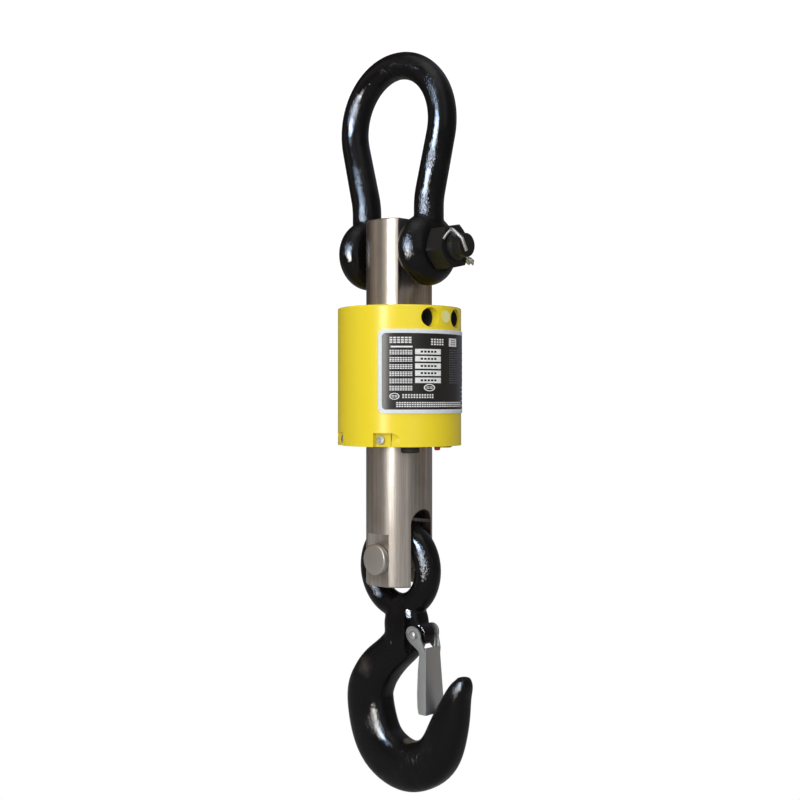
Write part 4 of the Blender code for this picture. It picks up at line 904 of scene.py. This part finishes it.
def make_nameplate():
    middle = (PLATE_TOP + PLATE_BOTTOM) / 2
    half_v = (PLATE_TOP - PLATE_BOTTOM) / 2

    def ring(inset, radius, shrink=1.0):
        corner = max(PLATE_CORNER - inset * 0.6, 1.2 * MM)
        return [(u * shrink, middle + v * shrink, radius)
                for u, v in round_rect(PLATE_HALF_U - inset, half_v - inset, corner)]

    base = PLATE_R - PLATE_BURIED
    top = PLATE_R + PLATE_RAISED
    border = label_skin("nameplate_border", [
        ring(0, base), ring(0, PLATE_R), ring(0.35 * MM, top), ring(BORDER_W - 0.4 * MM, top),
        ring(BORDER_W, PLATE_R), ring(BORDER_W, base)], False)
    smooth(border, 50)
    round_walls(border, [("Z", (BAR_X, 0, 0), top)], 0.05 * MM)
    finished(border, "scale_body", "nameplate_print", "print_border", "nameplate")
    inner = BORDER_W - 0.2 * MM
    field = label_skin("nameplate_field", [ring(inner, PLATE_R, 1 - i / 24) for i in range(24)], True)
    smooth(field, 60)
    round_walls(field, [("Z", (BAR_X, 0, 0), PLATE_R)], 0.4 * MM)
    finished(field, "scale_body", "nameplate_print", "nameplate_print")

    tree = bar_rows_tree()

    def bars(material, columns, rows, u, v, pitch_u, pitch_v, width, height):
        """Bars whose first one has its middle at (u, v); all sizes in mm."""
        return grown("bars", tree, Columns=columns, Rows=rows, Pitch=(pitch_u * MM, 0.0, pitch_v * MM),
                     Start=(u * MM, 0.0, v * MM),
                     Size=(width * MM, (0.36 if material == dark else 0.16) * MM, height * MM),
                     Radius=PLATE_R + 0.02 * MM, Centre_X=BAR_X, Material=finish(material))

    ink = "print_ink"
    faint = "print_faint"
    dark = "nameplate_print"
    table = [
        (ink, 6, 3, -53.0, -236.9, 3.3, 2.0, 2.5, 1.25), (ink, 1, 1, -43.8, -244.7, 0, 0, 19.0, 1.4),
        (ink, 5, 3, -16.0, -238.2, 2.9, 2.1, 1.9, 1.3), (ink, 1, 1, 9.9, -240.2, 0, 0, 12.0, 7.2),
        (dark, 2, 3, 8.0, -238.4, 3.6, 1.8, 2.2, 0.8), (ink, 1, 5, -19.3, -248.9, 0, 6.2, 25.4, 4.7),
        (dark, 5, 5, -25.9, -248.9, 3.3, 6.2, 2.2, 1.7), (ink, 12, 2, -42.4, -286.3, 2.45, 2.1, 1.5, 1.3),
    ]
    table += [(ink, 9, 3, -53.4, -248.0 - 6.2 * row, 2.25, 1.5, 1.7, 0.9) for row in range(6)]
    table += [
        (ink, 34, 3, -47.6, -293.0, 2.25, 1.65, 1.7, 1.0), (faint, 8, 15, 5.2, -247.0, 2.2, 2.05, 1.6, 0.9),
        (faint, 10, 5, 30.0, -248.6, 2.8, 6.0, 2.0, 1.2), (ink, 1, 5, 40.0, -279.5, 0, 4.0, 20.0, 0.9),
    ]
    parts = [bars(*row) for row in table]
    ovals = {"oval": (-18.5, -280.0, 5.6, 3.1), "seal": (-50.0, -287.5, 4.4, 2.9)}
    for name, (u, v, half_w, half_h) in ovals.items():
        loops = []
        for grow, lift in ((1.0, 0.0), (1.0, 0.1), (0.78, 0.1), (0.78, 0.0)):
            loops.append([((u + half_w * grow * math.cos(t)) * MM, (v + half_h * grow * math.sin(t)) * MM,
                           PLATE_R + lift * MM) for t in (math.tau * i / 40 for i in range(40))])
        ring_piece = label_skin(name, loops, False)
        ring_piece.data.materials.append(finish(ink))
        parts.append(ring_piece)
        parts.append(bars(ink, 2, 2, u - half_w * 0.3, v + 0.6, half_w * 0.6, 1.2, half_w * 0.5, 0.6))
    marks = joined("nameplate_bars", parts)
    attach(marks, "scale_body")


# ---------------------------------------------------------------- small pieces

def make_screws():
    """Pan-head screws with a cross recess in the housing's four pockets."""
    for number in range(1, 5):
        node = f"base_screw_{number}"
        obj = welded(node, f"{node}_piece")
        low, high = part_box(node)
        middle = (low + high) / 2
        away = Vector((middle.x - BAR_X, middle.y, 0))
        side_x = 1 if away.x > 0 else -1
        side_y = 1 if away.y > 0 else -1
        turn = math.radians(20)
        normal = Vector((side_x * math.sin(turn), side_y * math.cos(turn), 0))
        along = Vector((side_x * math.cos(turn), -side_y * math.sin(turn), 0))
        reach = max((vert.co - Vector((BAR_X, 0, 0))).dot(normal) for vert in obj.data.vertices)
        face = [vert.co for vert in obj.data.vertices
                if (vert.co - Vector((BAR_X, 0, 0))).dot(normal) > reach - 0.1 * MM]
        centre = sum(face, Vector()) / len(face)
        for direction in (along, Vector((0, 0, 1))):
            bm = bmesh.new()
            other = normal.cross(direction)
            length, width, depth = RECESS_ARM
            axes = Matrix((direction * length * MM, other * width * MM, normal * depth * MM))
            axes = axes.transposed().to_4x4()
            bmesh.ops.create_cube(bm, size=1.0, matrix=Matrix.Translation(centre) @ axes)
            cut(obj, as_object("recess", bm))
        smooth(obj, 30)
        finished(obj, "scale_body", "zinc_plate", "zinc_plate", node)


def make_well_shade_sleeves():
    """Black sleeves that line the four clamp wells behind the housing's wall: a dark sheet put in as painted
    shade deep in the wells.
    """
    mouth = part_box("front_shell")[1].x - BAR_X - 8.2 * MM
    for number, (side, across) in enumerate([(1, -1), (1, 1), (-1, -1), (-1, 1)], 1):
        bm = bmesh.new()
        profile = [(8.45, WELL_FLOOR + 0.1 * MM), (8.45, mouth), (8.2, mouth + 0.25 * MM),
                   (7.7, mouth), (7.7, WELL_FLOOR + 0.1 * MM)]
        profile = [(radius * MM, side * height) for radius, height in profile]
        lathe(bm, profile, "X", (BAR_X, across * WELL_Y, WELL_Z), steps=64)
        shade_sleeve = as_object(f"clamp_well_liner_{number}", bm)
        smooth(shade_sleeve, 40)
        finished(shade_sleeve, "scale_body", "black_rubber", "black_rubber")


def make_board_parts():
    """Chips on the circuit board's inner face."""
    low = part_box("circuit_board")[0]
    face = low.y
    chips = {"chip_1": (0.010, 0.022, 0.012, 0.012), "chip_2": (-0.014, 0.012, 0.009, 0.006),
             "chip_3": (0.014, 0.044, 0.006, 0.009)}
    for name, (x, up, wide, tall) in chips.items():
        chip = block(f"board_{name}", (BAR_X + x - wide / 2, face - 0.0017, low.z + up - tall / 2),
                     (BAR_X + x + wide / 2, face - 0.0001, low.z + up + tall / 2))
        ease(chip, 0.25 * MM)
        smooth(chip)
        finished(chip, "scale_body", "black_plastic", "black_plastic")


class CraneScaleSizes(bpy.types.PropertyGroup):
    """Sizes that shape the finished pieces."""
    voxel: FloatProperty(name="Forging Detail", description="Size of the cells that fuse a forging's pieces",
                         default=1.0 * MM, min=0.5 * MM, max=3 * MM, unit="LENGTH")
    metal_edge: FloatProperty(name="Metal Edge", description="Rounding of the steel bar's edges",
                              default=0.5 * MM, min=0, max=2 * MM, unit="LENGTH")
    shell_edge: FloatProperty(name="Housing Edge", description="Rounding of the housing's edges",
                              default=0.6 * MM, min=0, max=2 * MM, unit="LENGTH")
    sheet_edge: FloatProperty(name="Sheet Edge", description="Rounding of pressed sheet edges",
                              default=0.35 * MM, min=0, max=1 * MM, unit="LENGTH")
    thread_crests: IntProperty(name="Thread Crests", description="Crests that show past the nut",
                               default=2, min=0)
    thread_pitch: FloatProperty(name="Thread Pitch", description="Distance between crests", default=1.4 * MM,
                                unit="LENGTH")


class CraneScaleColours(bpy.types.PropertyGroup):
    """Base colours of the finishes."""
    enamel: FloatVectorProperty(name="Enamel", description="Paint on the forgings", subtype="COLOR",
                                default=(0.006, 0.006, 0.007), min=0, max=1)
    steel: FloatVectorProperty(name="Steel", description="Bare stainless steel", subtype="COLOR",
                               default=(0.78, 0.74, 0.70), min=0, max=1)
    shell: FloatVectorProperty(name="Housing", description="Housing plastic", subtype="COLOR",
                               default=(0.90, 0.72, 0.030), min=0, max=1)
    shell_deep: FloatVectorProperty(name="Housing Shade", description="Deeper tone of the housing plastic",
                                    subtype="COLOR", default=(0.84, 0.65, 0.022), min=0, max=1)
    zinc: FloatVectorProperty(name="Zinc", description="Zinc plating", subtype="COLOR",
                              default=(0.56, 0.60, 0.63), min=0, max=1)


class CRANE_SCALE_OT_finishes(bpy.types.Operator):
    """Make every finish and its shared node groups"""
    bl_idname = "crane_scale.finishes"
    bl_label = "Finishes"

    def execute(self, context):
        make_finishes(context.scene.crane_scale_colours)
        return {"FINISHED"}


class CRANE_SCALE_OT_stage(bpy.types.Operator):
    """Set up the floor, lights, surroundings and camera"""
    bl_idname = "crane_scale.stage"
    bl_label = "Stage"

    def execute(self, context):
        make_stage(context.scene)
        return {"FINISHED"}


class CRANE_SCALE_OT_shackle(bpy.types.Operator):
    """Build the bow, its bolt with thread crests, the nut and the split pin"""
    bl_idname = "crane_scale.shackle"
    bl_label = "Shackle"

    def execute(self, context):
        sizes = context.scene.crane_scale_sizes
        make_bow(sizes)
        carried("shackle_bolt", edge=0.3 * MM)
        carried("shackle_nut", edge=0.3 * MM, degrees=20)
        carried("split_pin", degrees=60)
        start_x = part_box("shackle_nut")[1].x + 0.6 * MM
        crests = grown("bolt_thread", thread_tree(), Count=sizes.thread_crests, Pitch=sizes.thread_pitch,
                       Start=(start_x, 0.0, BOLT_Z), Radius=THREAD_R, Crest=CREST_R,
                       Material=finish("black_enamel"))
        finished(crests, "shackle", "black_enamel", "black_enamel")
        return {"FINISHED"}


class CRANE_SCALE_OT_load_cell(bpy.types.Operator):
    """Finish the load cell bar and the gauges in it"""
    bl_idname = "crane_scale.load_cell"
    bl_label = "Load Cell"

    def execute(self, context):
        sizes = context.scene.crane_scale_sizes
        walls = [("Z", (BAR_X, 0, 0), BAR_R), ("Y", (BAR_X, 0, PIN_Z), HOOK_PIN_R),
                 ("Y", (BAR_X, 0, SLOT_END_Z), SLOT_END_R)]
        carried("load_cell_body", "bar_steel", edge=sizes.metal_edge, walls=walls)
        for end in ("front", "rear"):
            carried(f"gauge_cover_{end}", edge=0.25 * MM)
            carried(f"strain_gauge_{end}")
        return {"FINISHED"}


class CRANE_SCALE_OT_housing(bpy.types.Operator):
    """Finish the housing's shells, base, seals and screws"""
    bl_idname = "crane_scale.housing"
    bl_label = "Housing"

    def execute(self, context):
        sizes = context.scene.crane_scale_sizes
        for node, radius in SHELL_RADII.items():
            walls = [("Z", (BAR_X, 0, 0), radius), ("Z", (BAR_X, 0, 0), radius - SHELL_WALL)]
            walls += [("X", (0, side * WELL_Y, WELL_Z), WELL_R) for side in (-1, 1)]
            carried(node, edge=sizes.shell_edge, walls=walls)
        for node in ("base_plate", "top_seal", "base_seal"):
            carried(node, edge=0.4 * MM)
        for number in range(1, 5):
            carried(f"clamp_screw_{number}", edge=0.2 * MM)
        make_screws()
        # Black sleeves in the clamp wells, painted shade deep in the wells
        make_well_shade_sleeves()
        carried("number_sticker")
        return {"FINISHED"}


class CRANE_SCALE_OT_nameplate(bpy.types.Operator):
    """Build the nameplate's border, field and blank printed bars"""
    bl_idname = "crane_scale.nameplate"
    bl_label = "Nameplate"

    def execute(self, context):
        make_nameplate()
        return {"FINISHED"}


class CRANE_SCALE_OT_underside(bpy.types.Operator):
    """Finish the socket, button and antenna cap under the housing"""
    bl_idname = "crane_scale.underside"
    bl_label = "Underside"

    def execute(self, context):
        for node in ("charge_socket", "power_button", "antenna_cap"):
            carried(node, edge=0.3 * MM)
        return {"FINISHED"}


class CRANE_SCALE_OT_electronics(bpy.types.Operator):
    """Finish the board, cells, leads and antenna inside the housing"""
    bl_idname = "crane_scale.electronics"
    bl_label = "Electronics"

    def execute(self, context):
        for node in ("switch_body", "antenna", "circuit_board", "radio_module", "board_bracket",
                     "battery_tray", "battery_cap"):
            carried(node, edge=0.25 * MM)
        for node in ("gauge_cable", "charge_lead"):
            carried(node, degrees=60)
        for number in range(1, 5):
            carried(f"battery_cell_{number}")
        make_board_parts()
        return {"FINISHED"}


class CRANE_SCALE_OT_hook(bpy.types.Operator):
    """Build the hook and finish the pin that holds it"""
    bl_idname = "crane_scale.hook"
    bl_label = "Hook"

    def execute(self, context):
        make_hook(context.scene.crane_scale_sizes)
        for node in ("hook_pin", "pin_washer", "pin_clip"):
            carried(node, edge=0.3 * MM)
        return {"FINISHED"}


class CRANE_SCALE_OT_latch(bpy.types.Operator):
    """Finish the latch, its pin and its spring"""
    bl_idname = "crane_scale.latch"
    bl_label = "Latch"

    def execute(self, context):
        carried("latch", edge=context.scene.crane_scale_sizes.sheet_edge)
        carried("latch_pin", edge=0.2 * MM)
        carried("latch_spring", degrees=60)
        return {"FINISHED"}


class CRANE_SCALE_PT_panel(bpy.types.Panel):
    """Lists the steps that build the scale"""
    bl_label = "Crane Scale"
    bl_idname = "CRANE_SCALE_PT_panel"
    bl_space_type = "VIEW_3D"
    bl_region_type = "UI"
    bl_category = "Crane Scale"

    def draw(self, context):
        for group in (context.scene.crane_scale_sizes, context.scene.crane_scale_colours):
            for name in group.__annotations__:
                self.layout.prop(group, name)
        for step in STEPS:
            self.layout.operator(step.bl_idname)


# ---------------------------------------------------------------- stage

VIEW_TURN = math.radians(44)
VIEW_FROM = 1.118
VIEW_Z = -0.289
LENS = 55.35
LENS_SHIFT = (0.0035, -0.0025)
FLOOR_R = 30.0
FLOOR_Z = -0.75
PLAIN = (1.0, 1.0, 1.0)
WARM = (1.0, 0.99, 0.97)
# Turn from the camera and height in degrees, distance, size, power and colour
SOFT_LIGHTS = {
    "soft_key": (-24, 15, 2.0, (1.2, 1.2), 19, WARM),
    "front_fill": (28, 12, 2.2, (1.6, 1.6), 9, WARM),
    "rear_left_fill": (-145, 15, 2.2, (1.4, 1.4), 9, PLAIN),
    "rear_right_fill": (145, 15, 2.2, (1.4, 1.4), 9, PLAIN),
}
GLOSS_LIGHTS = {
    "streak_window": (-28, 8, 1.4, (0.26, 0.6), 6, (1.0, 0.97, 0.92)),
    "high_window": (-42, 15, 1.4, (0.66, 0.40), 130, (0.58, 0.74, 1.0)),
    "low_window": (-40, -4, 1.4, (0.52, 0.26), 72, (1.0, 0.95, 0.88)),
}
# Bands of the surroundings as shares of a turn, 0.5 being behind the camera, with their colours
SURROUND_BANDS = [
    (0.00, (0.05, 0.045, 0.045)), (0.11, (0.03, 0.022, 0.018)), (0.156, (0.03, 0.018, 0.010)),
    (0.194, (0.10, 0.065, 0.04)), (0.222, (0.42, 0.34, 0.26)), (0.25, (0.50, 0.45, 0.40)),
    (0.278, (0.32, 0.255, 0.20)), (0.325, (0.17, 0.14, 0.115)),
    (0.35, (0.15, 0.13, 0.11)), (0.385, (0.35, 0.33, 0.31)),
    (0.411, (0.95, 0.94, 0.93)), (0.45, (0.90, 0.89, 0.88)), (0.489, (0.52, 0.50, 0.48)),
    (0.528, (0.85, 0.82, 0.80)), (0.567, (0.95, 0.92, 0.90)), (0.586, (0.85, 0.82, 0.80)),
    (0.612, (0.10, 0.09, 0.08)), (0.647, (0.08, 0.07, 0.065)), (0.694, (0.045, 0.038, 0.035)),
    (0.742, (0.17, 0.13, 0.09)), (0.785, (0.28, 0.225, 0.165)), (0.847, (0.20, 0.20, 0.24)),
    (0.883, (0.34, 0.35, 0.45)), (0.944, (0.20, 0.21, 0.27)), (0.98, (0.06, 0.055, 0.06)),
]


def aimed_light(name, turn, up, away, size, power, colour):
    """A soft rectangular light, turned from the camera's own direction, that faces the scale."""
    data = bpy.data.lights.new(name, "AREA")
    data.shape = "RECTANGLE"
    data.size = size[0]
    data.size_y = size[1]
    data.energy = power
    data.color = colour
    obj = bpy.data.objects.new(name, data)
    angle = VIEW_TURN + math.radians(turn)
    flat = away * math.cos(math.radians(up))
    target = Vector((0, 0, VIEW_Z))
    height = away * math.sin(math.radians(up))
    obj.location = target + Vector((flat * math.sin(angle), -flat * math.cos(angle), height))
    obj.rotation_euler = (target - obj.location).to_track_quat("-Z", "Y").to_euler()
    bpy.context.scene.collection.objects.link(obj)
    return obj


def surroundings(scene):
    """White to look at, and a soft round of warm, bright and dark bands to be reflected."""
    world = bpy.data.worlds.new("studio")
    scene.world = world
    world.use_nodes = True
    tree = world.node_tree
    tree.nodes.clear()
    place = put(tree, "ShaderNodeTexCoord").outputs["Generated"]
    axes = put(tree, "ShaderNodeSeparateXYZ", {0: place}).outputs
    angle = maths(tree, "ARCTAN2", axes["X"], maths(tree, "MULTIPLY", axes["Y"], -1.0))
    turned = maths(tree, "SUBTRACT", angle, VIEW_TURN)
    share = maths(tree, "FRACT", maths(tree, "ADD", maths(tree, "DIVIDE", turned, math.tau), 1.5))
    ramp = put(tree, "ShaderNodeValToRGB", {0: share})
    elements = ramp.color_ramp.elements
    for index, (at, colour) in enumerate(SURROUND_BANDS):
        stop = elements[index] if index < len(elements) else elements.new(at)
        stop.position = at
        stop.color = (*colour, 1.0)
    height = between(tree, axes["Z"], -0.9, 0.6)
    lit = mixed(tree, height, (0.10, 0.10, 0.10), ramp.outputs[0])
    surround = put(tree, "ShaderNodeBackground", {"Color": lit, "Strength": 1.0}).outputs[0]
    white = put(tree, "ShaderNodeBackground", {"Color": (1.0, 1.0, 1.0, 1.0), "Strength": 1.05}).outputs[0]
    seen = put(tree, "ShaderNodeLightPath").outputs["Is Camera Ray"]
    blend = put(tree, "ShaderNodeMixShader", {0: seen, 1: surround, 2: white}).outputs[0]
    put(tree, "ShaderNodeOutputWorld", {0: blend})


def make_stage(scene):
    bm = bmesh.new()
    bmesh.ops.create_circle(bm, cap_ends=True, segments=96, radius=FLOOR_R,
                            matrix=Matrix.Translation((0, 0, FLOOR_Z)))
    floor = as_object("floor", bm)
    tree, shader = new_material("pale_floor", {"Base Color": (0.45, 0.45, 0.45, 1.0), "Roughness": 0.9})
    seen = put(tree, "ShaderNodeLightPath").outputs["Is Camera Ray"]
    glow = put(tree, "ShaderNodeEmission", {"Color": (*PLAIN, 1.0), "Strength": 1.0}).outputs[0]
    blend = put(tree, "ShaderNodeMixShader", {0: seen, 1: shader.outputs[0], 2: glow}).outputs[0]
    tree.links.new(blend, tree.nodes["Material Output"].inputs[0])
    floor.data.materials.append(finish("pale_floor"))
    surroundings(scene)
    for name, given in SOFT_LIGHTS.items():
        aimed_light(name, *given).visible_glossy = False
    for name, given in GLOSS_LIGHTS.items():
        aimed_light(name, *given).visible_diffuse = False
    enamelled = bpy.data.collections.new("enamelled_pieces")
    for name in ("high_window", "low_window"):
        bpy.data.objects[name].light_linking.receiver_collection = enamelled
    aimed_light("top_light", -10, 75, 1.6, (1.2, 1.2), 6, PLAIN)
    data = bpy.data.cameras.new("camera")
    data.lens = LENS
    data.sensor_width = 36.0
    data.shift_x, data.shift_y = LENS_SHIFT
    data.clip_end = 200.0
    camera = bpy.data.objects.new("camera", data)
    camera.location = (math.sin(VIEW_TURN) * VIEW_FROM, -math.cos(VIEW_TURN) * VIEW_FROM, VIEW_Z)
    camera.rotation_euler = (math.pi / 2, 0, VIEW_TURN)
    scene.collection.objects.link(camera)
    scene.camera = camera
    scene.view_settings.view_transform = "Standard"


STEPS = (CRANE_SCALE_OT_finishes, CRANE_SCALE_OT_stage, CRANE_SCALE_OT_shackle, CRANE_SCALE_OT_load_cell,
         CRANE_SCALE_OT_housing, CRANE_SCALE_OT_nameplate, CRANE_SCALE_OT_underside,
         CRANE_SCALE_OT_electronics, CRANE_SCALE_OT_hook, CRANE_SCALE_OT_latch)
CLASSES = (CraneScaleSizes, CraneScaleColours) + STEPS + (CRANE_SCALE_PT_panel,)


def register():
    for cls in CLASSES:
        bpy.utils.register_class(cls)
    bpy.types.Scene.crane_scale_sizes = PointerProperty(type=CraneScaleSizes)
    bpy.types.Scene.crane_scale_colours = PointerProperty(type=CraneScaleColours)


def unregister():
    del bpy.types.Scene.crane_scale_colours
    del bpy.types.Scene.crane_scale_sizes
    for cls in reversed(CLASSES):
        bpy.utils.unregister_class(cls)


def light_enamel():
    """Let the two enamel windows reach only the bow and the hook."""
    receivers = bpy.data.collections["enamelled_pieces"]
    for obj in bpy.context.scene.objects:
        names = {mat.name for mat in obj.data.materials if mat} if obj.type == "MESH" else set()
        if names & {"bow_enamel", "hook_enamel"}:
            receivers.objects.link(obj)


def main():
    register()
    bpy.ops.crane_scale.finishes()
    bpy.ops.crane_scale.stage()
    bpy.ops.crane_scale.shackle()
    bpy.ops.crane_scale.load_cell()
    bpy.ops.crane_scale.housing()
    bpy.ops.crane_scale.nameplate()
    bpy.ops.crane_scale.underside()
    bpy.ops.crane_scale.electronics()
    bpy.ops.crane_scale.hook()
    bpy.ops.crane_scale.latch()
    light_enamel()


if __name__ == "__main__":
    main()
